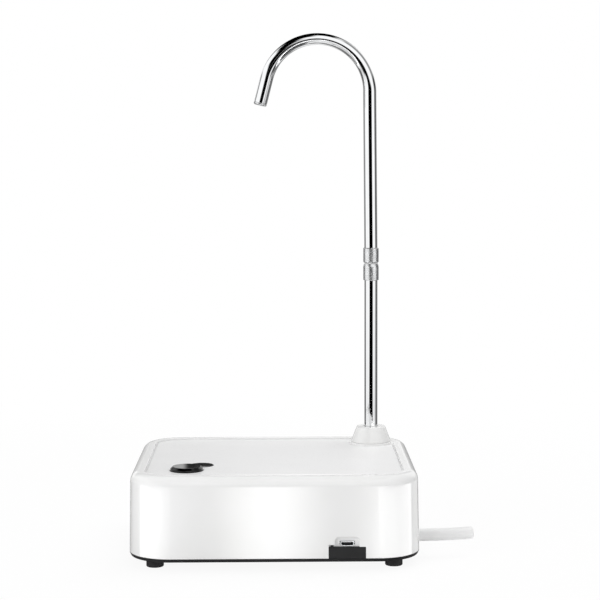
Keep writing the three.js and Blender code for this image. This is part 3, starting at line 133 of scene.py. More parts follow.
# Gives a shader its shades, gloss and relief, each from a level of its own. The dark shade turns
# into the pale one over the look's range
def dress(tree, shader, look, tone, sheen, height=None):
    share = addNode(tree, "MapRange", (tone, *look.get("range", noiseLevels)))
    dark, pale = (linear(shade) for shade in look["shades"])
    mix = {"Factor": share, "A": dark, "B": pale}
    colour = addNode(tree, "Mix", mix, "Result", data_type="RGBA")
    gloss = addNode(tree, "MapRange", (sheen, *noiseLevels, *look["gloss"]))
    tree.links.new(colour, shader.inputs["Base Color"])
    tree.links.new(gloss, shader.inputs["Roughness"])
    if height is not None:
        relief = {"Height": height, "Distance": look["lift"] * milli, "Strength": 1.0}
        tree.links.new(addNode(tree, "Bump", relief), shader.inputs["Normal"])


# The shade drifts in soft clouds, and a finer grain changes the gloss and lifts the surface, all
# in mm. A grain with three sizes is drawn out into lines. Wiped, the gloss follows the clouds
def mottled(name, look, **sockets):
    material, tree, shader = newMaterial(name, **sockets)
    if "map" in look:
        place = addNode(tree, "UVMap", uv_map=look["map"])
    else:
        place = addNode(tree, "TexCoord", give="Object")
    scaled = addNode(tree, "Mapping", {
        "Vector": place, "Scale": (np.ones(3) / look["grain"]).tolist(),
    })
    grain = addNode(tree, "TexNoise", {"Vector": scaled, "Scale": 1 / milli})
    cloud = addNode(tree, "TexNoise", {"Vector": place, "Scale": 1 / (look["cloud"] * milli)})
    sheen = cloud if look.get("wiped") else grain
    dress(tree, shader, look, cloud, sheen, grain if "lift" in look else None)
    return material


# Glass-fibre board under green solder mask: square-cut copper tracks lift the mask and lighten it
def solderMask():
    look = {
        "track": 2.4, "cloud": 3, "range": (0.3, 0.36),  # mm, and where the tracks' edge lies
        "shades": ("#14573A", "#27774F"), "gloss": (0.28, 0.4), "lift": 0.05,
    }
    material, tree, shader = newMaterial("glass-fibre board, green solder mask", IOR=1.55)
    place = addNode(tree, "TexCoord", give="Object")
    tracks = addNode(tree, "TexVoronoi", {
        "Vector": place, "Scale": 1 / (look["track"] * milli),
    }, distance="CHEBYCHEV", feature="F1")
    cloud = addNode(tree, "TexNoise", {"Vector": place, "Scale": 1 / (look["cloud"] * milli)})
    dress(tree, shader, look, tracks, cloud, tracks)
    return material


# Enamelled copper wire, wound: ridges a wire apart run round the armature and lift the surface. The
# shade follows them, paler on each ridge and darker between turns: painted highlight and painted
# shade
def woundCopper():
    look = {
        "wire": 0.4, "wander": 0.6,  # mm, and how far the turns stray
        "shades": ("#8E4A22", "#CC7A45"), "gloss": (0.24, 0.42), "lift": 0.1,
    }
    material, tree, shader = newMaterial("copper wire, wound and enamelled", Metallic=1.0)
    apart = math.pi / 10  # the scale at which this texture's bands lie one unit apart
    turns = addNode(tree, "TexWave", {
        "Vector": addNode(tree, "TexCoord", give="Object"),
        "Scale": apart / (look["wire"] * milli), "Distortion": look["wander"],
    }, "Fac", bands_direction="X")
    dress(tree, shader, look, turns, turns, turns)
    return material


slotMaterials = {
    # White ABS, moulded against polished steel: an even bright white with a soft gloss. The skin
    # has a faint orange peel, and handling leaves slightly duller clouds
    "white_abs": mottled("white ABS, moulded glossy", {
        "shades": ("#F1F1F0", "#F5F5F5"), "cloud": 40, "grain": 2.4, "gloss": (0.05, 0.08),
        "lift": 0.002,
    }, IOR=1.53),
    # Black ABS with a spark-eroded texture: a dry charcoal that scatters light in fine grains
    "black_abs": mottled("black ABS, moulded with a fine texture", {
        "shades": ("#161617", "#1D1D1E"), "cloud": 12, "grain": 0.45, "gloss": (0.48, 0.6),
        "lift": 0.02,
    }, IOR=1.53, Specular_IOR_Level=0.3),
    # Black ABS, moulded against polished steel: piano black with faint smudges of touch
    "black_gloss": mottled("black ABS, moulded glossy", {
        "shades": ("#030304", "#060607"), "cloud": 6, "grain": 3.0, "gloss": (0.015, 0.03),
        "lift": 0.0003,
    }, IOR=1.54, Specular_IOR_Level=0.3),
    # Rubber feet, moulded matt: dull and dark, with hardly a light on them
    "foot_rubber": mottled("black rubber, moulded matt", {
        "shades": ("#171718", "#212122"), "cloud": 3, "grain": 0.5, "gloss": (0.66, 0.82),
        "lift": 0.015,
    }, IOR=1.5),
    # Silicone hose, extruded: milky and a little see-through, so light wanders inside its wall,
    # with a satin skin
    "silicone": mottled("silicone rubber, extruded", {
        "shades": ("#F3F3F3", "#F8F8F8"), "cloud": 9, "grain": 0.7, "gloss": (0.34, 0.46),
        "lift": 0.01,
    }, IOR=1.41, Subsurface_Weight=0.35, Subsurface_Scale=0.0015, Subsurface_Radius=(1, 1, 1)),
    # Stainless tube, drawn and mirror polished: it shows the studio sharply. The polishing leaves
    # hair lines along the tube that stretch reflections very slightly, and faint cloudy wipe marks
    "polished_steel": mottled("stainless steel, drawn and polished", {
        "map": "surface", "grain": (30, 0.25, 1), "cloud": 9, "wiped": True,
        "shades": ("#EEEFF0", "#F3F4F5"), "gloss": (0.03, 0.06), "lift": 0.00006,
    }, Metallic=1.0),
    # Stainless sleeve, turned and left satin: rings of the tool run round it and spread each
    # reflection into a soft vertical sheen
    "satin_steel": mottled("stainless steel, turned satin", {
        "grain": (50, 50, 0.22), "cloud": 3, "shades": ("#E0E1E2", "#EBECED"),
        "gloss": (0.27, 0.33), "lift": 0.0004,
    }, Metallic=1.0),
    "circuit_board": solderMask(), "copper": woundCopper(),
    # Rubber seals, moulded smooth: dark, with a soft light
    "seal_rubber": mottled("black rubber, moulded smooth", {
        "shades": ("#131314", "#1A1A1B"), "cloud": 3, "grain": 0.8, "gloss": (0.42, 0.55),
        "lift": 0.005,
    }, IOR=1.5),
    # Steel, zinc plated: a cool bright grey that blurs what it mirrors
    "zinc_steel": mottled("steel, zinc plated", {
        "shades": ("#A4A9AE", "#B9BEC4"), "cloud": 2.5, "grain": 0.4, "gloss": (0.28, 0.42),
        "lift": 0.003,
    }, Metallic=1.0),
    # Nylon filled with glass, moulded: a dry mid grey with a fine grain of fibres
    "grey_nylon": mottled("grey nylon, filled with glass", {
        "shades": ("#81868B", "#93989D"), "cloud": 5, "grain": 0.4, "gloss": (0.4, 0.56),
        "lift": 0.012,
    }, IOR=1.53),
    # Natural nylon, moulded: a warm ivory with a soft light
    "connector_nylon": mottled("natural nylon, moulded", {
        "shades": ("#E2DCCB", "#EDE8D9"), "cloud": 4, "grain": 0.6, "gloss": (0.35, 0.48),
        "lift": 0.006,
    }, IOR=1.53),
    # Light diode, cast in clear resin: waxy yellow phosphor that glows through a glossy skin
    "led_resin": mottled("epoxy resin, cast", {
        "shades": ("#E6DFC2", "#F0EBD6"), "cloud": 1.2, "grain": 0.6, "gloss": (0.12, 0.24),
    }, IOR=1.52, Subsurface_Weight=0.3, Subsurface_Scale=0.001),
    # Heat-shrunk PVC film: it follows the can tightly and shines in soft ripples
    "battery_wrap": mottled("PVC film, shrunk blue", {
        "shades": ("#23629F", "#2E72B2"), "cloud": 14, "grain": 1.6, "gloss": (0.22, 0.34),
        "lift": 0.02,
    }, IOR=1.54),
    # The same film on the capacitor, dark and a little duller
    "capacitor_can": mottled("PVC sleeve, shrunk dark", {
        "shades": ("#151B26", "#1E2635"), "cloud": 3, "grain": 0.7, "gloss": (0.25, 0.38),
        "lift": 0.01,
    }, IOR=1.54),
}
# PVC wire jackets, extruded: soft even colours with a satin skin
for wireSlot, name, shades in (
    ("red_wire", "PVC jacket, red", ("#93201F", "#A82A28")),
    ("black_wire", "PVC jacket, black", ("#191919", "#242424")),
    ("grey_wire", "PVC ribbon, grey", ("#C4C4C4", "#D2D2D2")),
):
    slotMaterials[wireSlot] = mottled(name, {
        "shades": shades, "cloud": 5, "grain": 0.5, "gloss": (0.36, 0.5), "lift": 0.008,
    }, IOR=1.54)
# White ABS where the mould is etched: the tray's floor, a shade quieter and dry to the touch
whiteSatin = mottled("white ABS, moulded with a fine texture", {
    "shades": ("#F3F3F3", "#F6F6F6"), "cloud": 30, "grain": 0.6, "gloss": (0.27, 0.34),
    "lift": 0.004,
}, IOR=1.53)
# The same ABS in the narrow groove round the tray's floor, a shade greyer and duller: painted shade
# where the groove catches less light, which draws the tray's edge as a soft grey line
paintedShadeSatin = mottled("white ABS, moulded with a fine texture, painted shade", {
    "shades": ("#E1E1E1", "#E7E7E7"), "cloud": 30, "grain": 0.6, "gloss": (0.5, 0.6), "lift": 0.004,
}, IOR=1.53)
# The nose of the spout, turned and polished: a mirror like the tube's, a little softer
polishedTip = mottled("stainless steel, turned and polished", {
    "shades": ("#DDDEDF", "#E8E9EA"), "cloud": 4, "grain": 1.0, "gloss": (0.06, 0.12),
    "lift": 0.001,
}, Metallic=1.0)
for part in frame["record"]["subparts"]:
    solidSlots = nodes[part["node"]].data.materials
    solidSlots.clear()
    solidSlots.append(slotMaterials[part["material_slot"]])
print("materials made")


# Rounds chosen corners of a profile. Each gives way to an arc tangent to its two sides, whose
# centre lies on their bisector at the radius over the sine of half the corner's angle
def eased(profile, radii, steps=5):
    points = np.array(profile, float)
    behind, ahead = np.roll(points, 1, 0) - points, np.roll(points, -1, 0) - points
    rounds = []
    for corner, one, other, radius in zip(points, behind, ahead, radii):
        if not radius:
            rounds.append([corner])
            continue
        one, other = one / np.linalg.norm(one), other / np.linalg.norm(other)
        half = math.acos(one @ other) / 2
        bisector = (one + other) / np.linalg.norm(one + other)
        centre = corner + bisector * radius / math.sin(half)
        reach, angle = radius / math.tan(half), math.pi - 2 * half
        share = np.linspace(0, angle, steps + 1)[:, None]
        first, last = (corner + side * reach - centre for side in (one, other))
        rounds.append(
            centre + (np.sin(angle - share) * first + np.sin(share) * last) / math.sin(angle)
        )
    return np.concatenate(rounds)


# A grid of points becomes a closed skin: rows lie along the profile and columns go round it.
# An open profile gets a flat face at each end, and a closed one joins its last row to its first
def skin(name, grid, closed=False, uv=None):
    rows, columns = grid.shape[:2]
    index = np.arange(rows * columns).reshape(rows, columns)
    low, high = (index, np.roll(index, -1, 0)) if closed else (index[:-1], index[1:])
    quads = np.stack([low, np.roll(low, -1, 1), np.roll(high, -1, 1), high], -1).reshape(-1, 4)
    ends = [] if closed else [index[0][::-1], index[-1]]
    points = grid.reshape(-1, 3) * milli
    fans = [
        np.stack([np.full(len(end) - 2, end[0]), end[1:-1], end[2:]], -1) for end in ends
    ]
    triangles = points[np.concatenate([quads[:, [0, 1, 2]], quads[:, [0, 2, 3]], *fans])]
    spins = np.cross(triangles[:, 1], triangles[:, 2])
    if (triangles[:, 0] * spins).sum() < 0:  # the volume is negative where faces point inwards
        quads, ends = quads[:, ::-1], [end[::-1] for end in ends]
    made = meshObject(name, points, [*quads.tolist(), *(end.tolist() for end in ends)])
    if uv is not None:
        corners = np.empty(len(made.data.loops), np.int32)
        made.data.loops.foreach_get("vertex_index", corners)
        layer = made.data.uv_layers.new(name="surface")
        layer.data.foreach_set("uv", uv.reshape(-1, 2)[corners].astype(np.float32).ravel())
    return made


# Turns a profile of radius and height round an upright axis: the centre plus the radius times
# the cosine and sine of an even run of angles
def turned(name, profile, centre, sides=96, closed=True):
    profile = np.array(profile, float)
    angle = np.arange(sides) * 2 * math.pi / sides
    radius, height = profile[:, :1], profile[:, 1:]
    grid = np.stack([
        centre[0] + radius * np.cos(angle),
        centre[1] + radius * np.sin(angle),
        height + 0 * angle,
    ], -1)
    return skin(name, grid, closed)


# A quarter circle's distances from the two sides of the corner it rounds: the radius times one
# minus the sine, and one minus the cosine, of an even run of angles
def rounding(radius, count):
    angle = np.linspace(0, quarter, count)
    return radius * (1 - np.sin(angle)), radius * (1 - np.cos(angle))


# Circles square to a line that stays in one plane: a point of the line plus the radius times the
# cosine and sine of an angle, out along the outside and back along the bore, with rounded ends
def tube(line, plane, outer, bore, edge, sides=64, ends=4):
    line = np.array(line, float)
    drop, along = rounding(edge, ends)
    way = np.gradient(line, axis=0)
    way /= np.linalg.norm(way, axis=1, keepdims=True)
    middle = np.concatenate([
        line[0] + along[:, None] * way[0], line[1:-1], line[-1] - along[::-1, None] * way[-1],
    ])
    ways = np.concatenate([
        np.repeat(way[:1], ends, 0), way[1:-1], np.repeat(way[-1:], ends, 0),
    ])
    lost = np.concatenate([drop, np.zeros(len(line) - 2), drop[::-1]])
    centre = np.concatenate([middle, middle[::-1]])
    across = np.cross(plane, np.concatenate([ways, ways[::-1]]))
    radius = np.concatenate([outer - lost, (bore + lost)[::-1]])
    angle = np.arange(sides) * 2 * math.pi / sides
    circle = np.cos(angle)[None, :, None] * across[:, None] + np.sin(angle)[:, None] * plane
    grid = centre[:, None] + radius[:, None, None] * circle
    far = np.concatenate([[0], np.cumsum(np.linalg.norm(np.diff(middle, axis=0), axis=1))])
    far = np.concatenate([far, far[::-1]])
    uv = np.stack(np.broadcast_arrays(far[:, None], outer * angle), -1) * milli
    return grid, uv


# Gives a new piece its slot's material or another, even shading and its body, and hides the solid
# it stands for. Edges sharper than so many degrees stay crisp
def finishPiece(piece, body, slot, replaced, material=None, sharp=32):
    piece.data.materials.clear()
    piece.data.materials.append(material or slotMaterials[slot])
    piece.data.shade_smooth()
    piece.data.set_sharp_from_angle(angle=math.radians(sharp))
    even = piece.modifiers.new("even shading", "WEIGHTED_NORMAL")
    even.keep_sharp = True
    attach(piece, body)
    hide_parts(replaced)


# The free end of the suction hose: it leaves the right side level and curves gently backwards
hoseFacts = {
    "route": (  # mm, the same points as its solid
        (62.4, -36, 12.5), (68.8, -36, 12.5), (75.2, -36, 12.5), (81.5, -36, 12.5),
        (87.9, -35.7, 12.5), (94.2, -35, 12.5), (100.5, -34, 12.5), (106.8, -32.6, 12.5),
        (113, -31, 12.5),
    ),
    "exit": (81.5, -36, 12.5),
    "length": 51.1, "diameter": 7, "bore": 5, "edge": 0.25,
    "steps": 6,  # from each point of the route to the next
}


# A smooth line through given points: cubic pieces whose slope at each point is half the step
# from the point before it to the point after
def smoothLine(points, steps):
    points = np.array(points, float)
    padded = np.concatenate([[2 * points[0] - points[1]], points, [2 * points[-1] - points[-2]]])
    a, b, c, d = (padded[i:len(padded) - 3 + i, None] for i in range(4))
    t = (np.arange(steps) / steps)[None, :, None]
    line = (
        2 * b + (c - a) * t + (2 * a - 5 * b + 4 * c - d) * t ** 2
        + (3 * b - a - 3 * c + d) * t ** 3
    ) / 2
    return np.concatenate([line.reshape(-1, 3), points[-1:]])


def makeHose(facts):
    line = smoothLine(facts["route"], facts["steps"])
    grid, uv = tube(
        line, np.array([0.0, 0, 1]), facts["diameter"] / 2, facts["bore"] / 2, facts["edge"],
    )
    hose = skin("suction_hose_free", grid, True, uv)
    finishPiece(hose, "base", "silicone", "suction_hose")


makeHose(hoseFacts)
print("hose made")


body = {  # mm
    "width": 163, "depth": 139, "corner": 24, "bottom": 7.1, "top": 52.6,
    "lean": 0.8,  # of each side over its height
    "fillet": 5.5, "wall": 2.4, "ceiling": 49.4, "edge": 0.3,
    "rim": 8.8, "trayFloor": 51.6, "trayCorner": 15.2, "stepRound": 0.45,
    "groove": 1.3, "grooveDepth": 0.35,  # at the foot of the tray's edge
    "padBlend": 1.5, "pad": 13.3,  # round the collar
    "unshadedReach": 16,  # round cap, lens and spout, where the groove has no painted shade
}
spoutPlace = (59.3, 47.3)
buttonPlace = (-49.4, -41.5)
lensPlace = (-41.6, -26.3)
usbPlace = (40.1, 15.2)  # of the charging socket, across and up
hosePlace = (-36, 12.5)  # back and up
cornerShare = np.linspace(0, 1, 19)
padSteps = (8, 30, 8)


# The sides draw in evenly with the height: the share of the bottom's size that is left
def leanAt(height):
    rate = body["lean"] / (body["width"] / 2) / (body["top"] - body["bottom"])
    return 1 - rate * (height - body["bottom"])


# An arc: centre plus radius times the cosine and sine of an even run of angles
def arc(centreX, centreY, radius, first, last, shares=cornerShare):
    angle = first + (last - first) * shares
    return np.stack([centreX + radius * np.cos(angle), centreY + radius * np.sin(angle)], -1)


# A rounded rectangle seen from above, from its front left corner on, with as many points in its
# rear right corner as the way round the collar's pad has
def ring(halfX, halfY, radius):
    x, y = halfX - radius, halfY - radius
    rearRight = np.linspace(0, 1, sum(padSteps) + 1)
    return np.concatenate([
        arc(-x, -y, radius, 2 * quarter, 3 * quarter),
        arc(x, -y, radius, 3 * quarter, 4 * quarter),
        arc(x, y, radius, 0, quarter, rearRight),
        arc(-x, y, radius, quarter, 2 * quarter),
    ])


# The tray's edge, moved outwards by grow: arcs as above, but in the rear right corner one arc runs
# round the front of the collar's pad, and a small one at each end blends it into the side
def trayRing(grow):
    x, y = body["width"] / 2 - body["rim"] + grow, body["depth"] / 2 - body["rim"] + grow
    radius, pad, blend = body["trayCorner"] + grow, body["pad"] - grow, body["padBlend"] + grow
    spoutX, spoutY = spoutPlace
    across = x - blend - spoutX
    down = math.sqrt((pad + blend) ** 2 - across ** 2)
    meet = math.atan2(down, across)
    start, middle, end = (np.linspace(0, 1, steps + 1) for steps in padSteps)
    low, high = -meet, quarter + meet - 4 * quarter
    return np.concatenate([
        arc(radius - x, radius - y, radius, 2 * quarter, 3 * quarter),
        arc(x - radius, radius - y, radius, 3 * quarter, 4 * quarter),
        arc(x - blend, spoutY - down, blend, 0, 2 * quarter - meet, start[:-1]),
        arc(spoutX, spoutY, pad, low, high, middle),
        arc(spoutX - down, y - blend, blend, meet - quarter, quarter, end[1:]),
        arc(radius - x, y - radius, radius, quarter, 2 * quarter),
    ])


# The base's outline, set in from its sides
def baseRing(inset):
    return ring(body["width"] / 2 - inset, body["depth"] / 2 - inset, body["corner"] - inset)


def atHeight(flat, height):
    return np.column_stack([flat, np.full(len(flat), height)])


# The housing's rows, from its ceiling inside down to the foot, up the sides and over into the
# tray. Each round is a quarter circle of inset and height, and the groove is half a sine wave
def housingRows():
    fillet, wall, edge, bottom, top = pick(body, "fillet", "wall", "edge", "bottom", "top")
    sides = [
        *((wall + x, body["ceiling"] - z) for x, z in zip(*rounding(fillet - wall, 7))),
        (wall, bottom),
        *((x, bottom + z) for x, z in zip(*rounding(edge, 5))),
        *((x, top - z) for z, x in zip(*rounding(fillet, 15))),
    ]
    angle = np.linspace(0, 2 * quarter, 11)
    tray = [
        *((x, top - z) for x, z in zip(*rounding(body["stepRound"], 7))),
        *zip(
            body["groove"] * (np.cos(angle) - 1) / 2,
            body["trayFloor"] - body["grooveDepth"] * np.sin(angle),
        ),
    ]
    rows = [atHeight(baseRing(inset) * leanAt(height), height) for inset, height in sides]
    rows += [atHeight(trayRing(grow), height) for grow, height in tray]
    return np.array(rows)


def carve(piece, cutters, operation="DIFFERENCE"):
    for number, cutter in enumerate(cutters):
        step = piece.modifiers.new(f"cut {number}", "BOOLEAN")
        step.operation, step.solver, step.object = operation, "EXACT", cutter
    bpy.context.view_layer.update()
    seen = bpy.context.evaluated_depsgraph_get()
    whole = bpy.data.meshes.new_from_object(piece.evaluated_get(seen), depsgraph=seen)
    piece.modifiers.clear()
    old, piece.data = piece.data, whole
    bpy.data.meshes.remove(old)
    for cutter in cutters:
        bpy.data.objects.remove(cutter)


trayHoles = {
    "holes": (  # name, centre, radius, the surface it goes through, rounding of its rim
        ("spout hole", spoutPlace, 6.7, "top", 0.2),
        ("cap hole", buttonPlace, 9.5, "trayFloor", 0.25),
        ("lens hole", lensPlace, 7.0, "trayFloor", 0.15),
    ),
    "bottom": 46, "above": 4,  # mm: where the cutters end
}


# Round cutters from above. Each flares in a quarter circle, which rounds the hole's edge
def topCutters(facts):
    cutters = []
    for name, centre, radius, surface, flare in facts["holes"]:
        floor = body[surface]
        end = floor + facts["above"]
        rounded = [(radius + x, floor - z) for z, x in zip(*rounding(flare, 5))]
        profile = [
            (pole, facts["bottom"]), (radius, facts["bottom"]), *rounded, (radius + flare, end),
            (pole, end),
        ]
        cutters.append(turned(name, profile, centre, closed=False))
    return cutters


# Outlines seen from the front, one for each depth, become a block
def frontSkin(name, outlines, depths):
    back = np.broadcast_to(depths[:, None], outlines.shape[:2])
    return skin(name, np.stack([outlines[..., 0], back, outlines[..., 1]], -1))


# A cutter into the front: an outline that grows along its normals in a quarter circle where it
# meets the face
def frontCutter(name, outline, face, back, flare):
    inwards, outwards = rounding(flare, 5)
    away = outline - outline.mean(0)
    side = np.roll(outline, -1, 0) - np.roll(outline, 1, 0)
    normal = np.column_stack([side[:, 1], -side[:, 0]])
    normal /= np.linalg.norm(normal, axis=1, keepdims=True)
    normal *= np.sign((normal * away).sum(1, keepdims=True))
    grows = np.array([flare, *outwards[::-1], 0.0])
    depths = np.array([face - usbFacts["before"], *(face + inwards[::-1]), back])
    return frontSkin(name, outline[None] + grows[:, None, None] * normal[None], depths)


# A rectangle seen from the front, with its upper corners rounded
def window(left, right, foot, top, corner, steps=5):
    corners = [(left, foot), (right, foot), (right, top), (left, top)]
    return eased(corners, [0, 0, corner, corner], steps)


# The charging socket's recess with its mouth, and the notches for the base plate's tab and hook
usbFacts = {  # mm
    "tab": 20.4, "tabTop": 13.5, "fit": 0.1, "notchCorner": 0.4, "flare": 0.12,
    "recess": 13.5, "recessFoot": 8, "recessTop": 19, "recessCorner": 2.2, "recessDepth": 1.6,
    "recessFlare": 0.3, "mouth": 8.2, "mouthHeight": 2.9, "mouthCorner": 0.25,
    "mouthFlare": 0.15, "hook": 3.8, "hookFoot": 12, "hookRise": 1.1, "hookCorner": 0.3,
    "hookDepth": 1.3, "before": 3, "inside": 1,
}


# The mouth is as wide as the plug at the top, and its lower corners are cut off
def socketOutline(facts):
    half, low, step = facts["mouth"] / 2, facts["mouthHeight"] / 2, facts["mouthHeight"] / 3
    corners = [
        (-half + step, -low), (half - step, -low), (half, -low + step), (half, low),
        (-half, low), (-half, -low + step),
    ]
    return eased(corners, [facts["mouthCorner"]] * len(corners), 3) + np.array(usbPlace)


def frontFace():
    return -(body["depth"] / 2) * leanAt(usbPlace[1])


def sideFace():
    return (body["width"] / 2) * leanAt(hosePlace[1])


def frontCutters(facts):
    face, inside = frontFace(), body["wall"] + facts["inside"] - body["depth"] / 2
    x, top = usbPlace[0], facts["tabTop"] + facts["fit"]
    half, reach = facts["tab"] / 2 + facts["fit"], facts["recess"] / 2
    left, floor = x - facts["tab"] / 2, face + facts["recessDepth"]
    foot, high, corner = pick(facts, "recessFoot", "recessTop", "recessCorner")
    recess = window(x - reach, x + reach, foot, high, corner, 8)
    notch = window(x - half, x + half, 0, top, facts["notchCorner"])
    wide, foot, rise, corner = pick(facts, "hook", "hookFoot", "hookRise", "hookCorner")
    hook = window(left, left + wide, foot, top + rise, corner)
    return [
        frontCutter("recess", recess, face, floor, facts["recessFlare"]),
        frontCutter("notch", notch, face, inside, facts["flare"]),
        frontCutter("hook hole", hook, face, face + facts["hookDepth"], facts["flare"]),
        frontCutter("mouth", socketOutline(facts), floor, inside, facts["mouthFlare"]),
    ]


# The hose's way through the right side: radii, and distances from the outer face
hoseHole = {
    "bore": ((4.4, -5), (4.4, 3)),
    "sink": ((5.0, -0.9), (5.0, -0.2), (5.2, 0.01), (5.2, 3)),
}


def sideCutters(runs):
    cutters = []
    for name, run in runs.items():
        profile = [(pole, run[0][1]), *run, (pole, run[-1][1])]
        cutters.append(turned(name, profile + np.array([0, sideFace()]), (0, 0), 64, False))
        toSide(cutters[-1])
    return cutters


# Lays an upright turned piece over to the right side, on the hose's line
def toSide(piece):
    back, up = (length * milli for length in hosePlace)
    piece.data.transform(Matrix(((0, 0, 1, 0), (0, 1, 0, back), (-1, 0, 0, up), (0, 0, 0, 1))))


# The tray's floor has the fine texture, and its groove, away from cap, lens and spout, the greyer
# one that paints shade along the tray's edge. Both face upwards, between the groove's depth and the
# floor's height
def coverTray(housing):
    housing.data.materials.append(whiteSatin)
    housing.data.materials.append(paintedShadeSatin)
    faces, near = housing.data.polygons, 1e-5
    spot, ways = np.empty((2, len(faces), 3), np.float32)
    faces.foreach_get("center", spot.ravel())
    faces.foreach_get("normal", ways.ravel())
    reach = (np.array([body["width"], body["depth"]]) / 2 - body["rim"]) * milli + near
    high = body["trayFloor"] * milli
    low = high - body["grooveDepth"] * milli
    onFloor = (np.abs(spot[:, :2]) < reach).all(1) & (ways[:, 2] > near)
    onFloor &= (spot[:, 2] > low - near) & (spot[:, 2] < high + near)
    places = np.array([buttonPlace, lensPlace, spoutPlace]) * milli
    away = np.linalg.norm(spot[:, None, :2] - places, axis=2).min(1)
    inGroove = onFloor & (away > body["unshadedReach"] * milli) & (spot[:, 2] < high - near)
    faces.foreach_set("material_index", onFloor.astype(np.int32) + inGroove)


def makeHousing():
    housing = skin("housing_shell", housingRows())
    carve(housing, [*topCutters(trayHoles), *frontCutters(usbFacts), *sideCutters(hoseHole)])
    finishPiece(housing, "base", "white_abs", "housing")
    coverTray(housing)


makeHousing()
print("housing made")


plateFacts = {  # mm
    "bottom": 5.2, "top": 7.1, "lean": 0.7, "edge": 0.2, "fit": 0.02, "lip": 3, "lipWidth": 1.6,
    "gap": 2.5, "front": 0.1, "tabBack": 2.6, "tabFoot": 0.3, "tabCorner": 0.35, "tabEdge": 0.2,
    "hook": 1.6, "hookAside": 1.1, "hookRise": 1.1, "hookDrop": 1, "hookBack": 1.2,
    "hookCorner": 0.3, "hookEdge": 0.15,
}


# A block that stands out to the front: an outline that shrinks about its middle in a quarter
# circle towards its front
def frontBlock(name, outline, front, back, edge):
    middle = outline.mean(0)
    aside, inwards = rounding(edge, 4)
    shrinks, depths = np.array([*aside, 0.0]), np.array([*(front + inwards), back])
    size = np.abs(outline - middle).max(0)
    outlines = middle + (outline - middle)[None] * (1 - shrinks[:, None, None] / size)
    return frontSkin(name, outlines, depths)


# The base plate's rows run up its edge and over its lip, and the tab and the hook are added
def makeBasePlate(facts):
    bottom, top, lean, edge, gap = pick(facts, "bottom", "top", "lean", "edge", "gap")
    inner, lip = gap + facts["lipWidth"], top + facts["lip"]
    rows = [
        (lean + edge, bottom), (lean, bottom + edge), (facts["fit"], top - edge), (edge, top),
        (gap, top), (gap, lip), (inner, lip), (inner, top),
    ]
    plate = skin("base_plate_moulded", np.array([
        atHeight(baseRing(inset), height) for inset, height in rows
    ]))
    face, x, tabTop = frontFace(), usbPlace[0], usbFacts["tabTop"]
    half = usbFacts["tab"] / 2
    left = x - half + facts["hookAside"]
    tab = window(x - half, x + half, bottom + facts["tabFoot"], tabTop, facts["tabCorner"])
    wide, drop, rise, corner = pick(facts, "hook", "hookDrop", "hookRise", "hookCorner")
    hook = window(left, left + wide, tabTop - drop, tabTop + rise, corner)
    front, back = face + facts["front"], facts["tabBack"] - body["depth"] / 2
    carve(plate, [
        frontBlock("tab", tab, front, back, facts["tabEdge"]),
        frontBlock("hook", hook, front, face + facts["hookBack"], facts["hookEdge"]),
    ], "UNION")
    finishPiece(plate, "base", "black_abs", "base_plate")


footFacts = {"radius": 4.9, "top": 5.1, "edge": 0.6, "topEdge": 0.15, "x": 66.7, "y": 54.7}  # mm


def makeFeet(facts):
    radius, top = facts["radius"], facts["top"]
    corners = [(pole, 0), (radius, 0), (radius, top), (pole, top)]
    profile = eased(corners, [0, facts["edge"], facts["topEdge"], 0])
    for end, y in (("front", -facts["y"]), ("rear", facts["y"])):
        for side, x in (("left", -facts["x"]), ("right", facts["x"])):
            name = f"foot_{end}_{side}"
            foot = turned(name + "_moulded", profile, (x, y), 64, False)
            finishPiece(foot, "base", "foot_rubber", name)


makeBasePlate(plateFacts)
makeFeet(footFacts)
print("base plate and feet made")


collarFacts = {  # mm
    "radius": 12.2, "topRadius": 8.6, "bottom": 52.6, "top": 62, "bore": 4.3, "hollow": 7,
    "roof": 58.2, "footEdge": 0.3, "edge": 1.1, "boreEdge": 0.25,
}


def makeCollar(facts):
    bottom, top, roof, bore, hollow = pick(facts, "bottom", "top", "roof", "bore", "hollow")
    profile = eased([
        (hollow, bottom), (facts["radius"], bottom), (facts["topRadius"], top), (bore, top),
        (bore, roof), (hollow, roof),
    ], [0, facts["footEdge"], facts["edge"], facts["boreEdge"], 0, 0], 6)
    collar = turned("collar_moulded", profile, spoutPlace)
    finishPiece(collar, "base", "white_abs", "collar")


makeCollar(collarFacts)

spoutFacts = {  # mm and degrees
    "radius": 4, "bore": 3.2, "edge": 0.15, "bottom": 35, "seam": 162.3, "seamGap": 0.7,
    "bend": 31.8, "bendHeight": 265.9, "lean": 0.45, "outletAngle": 165.5, "outlet": 14.5,
    "flattening": 1.1, "bendSteps": 240,
    "sleeve": 4.7, "lowerSleeve": 10.1, "upperSleeve": 9.1, "chamfer": 0.4,
    "chamferHeight": 1.7, "sleeveFit": 0.02, "sleeveEdge": 0.12, "sleeveRound": 0.2,
    "sealBore": 3.3, "sealEdge": 0.1,
    "tip": 1.5, "tipRim": 2.9, "tipBore": 2.3, "tipNeck": 3.1, "tipReach": 4, "tipEdge": 0.1,
    "tipMouth": 0.4,
}


# Where the bend begins and ends on its circle, and the circle's centre
def bendPlace(facts):
    lean, last = math.radians(facts["lean"]), math.radians(facts["outletAngle"])
    rise = facts["bendHeight"] - facts["seam"] - facts["seamGap"] / 2
    centreX = spoutPlace[0] - rise * math.tan(lean) - facts["bend"] * math.cos(lean)
    return lean, last, centreX, facts["bendHeight"] - facts["bend"] * math.sin(lean)


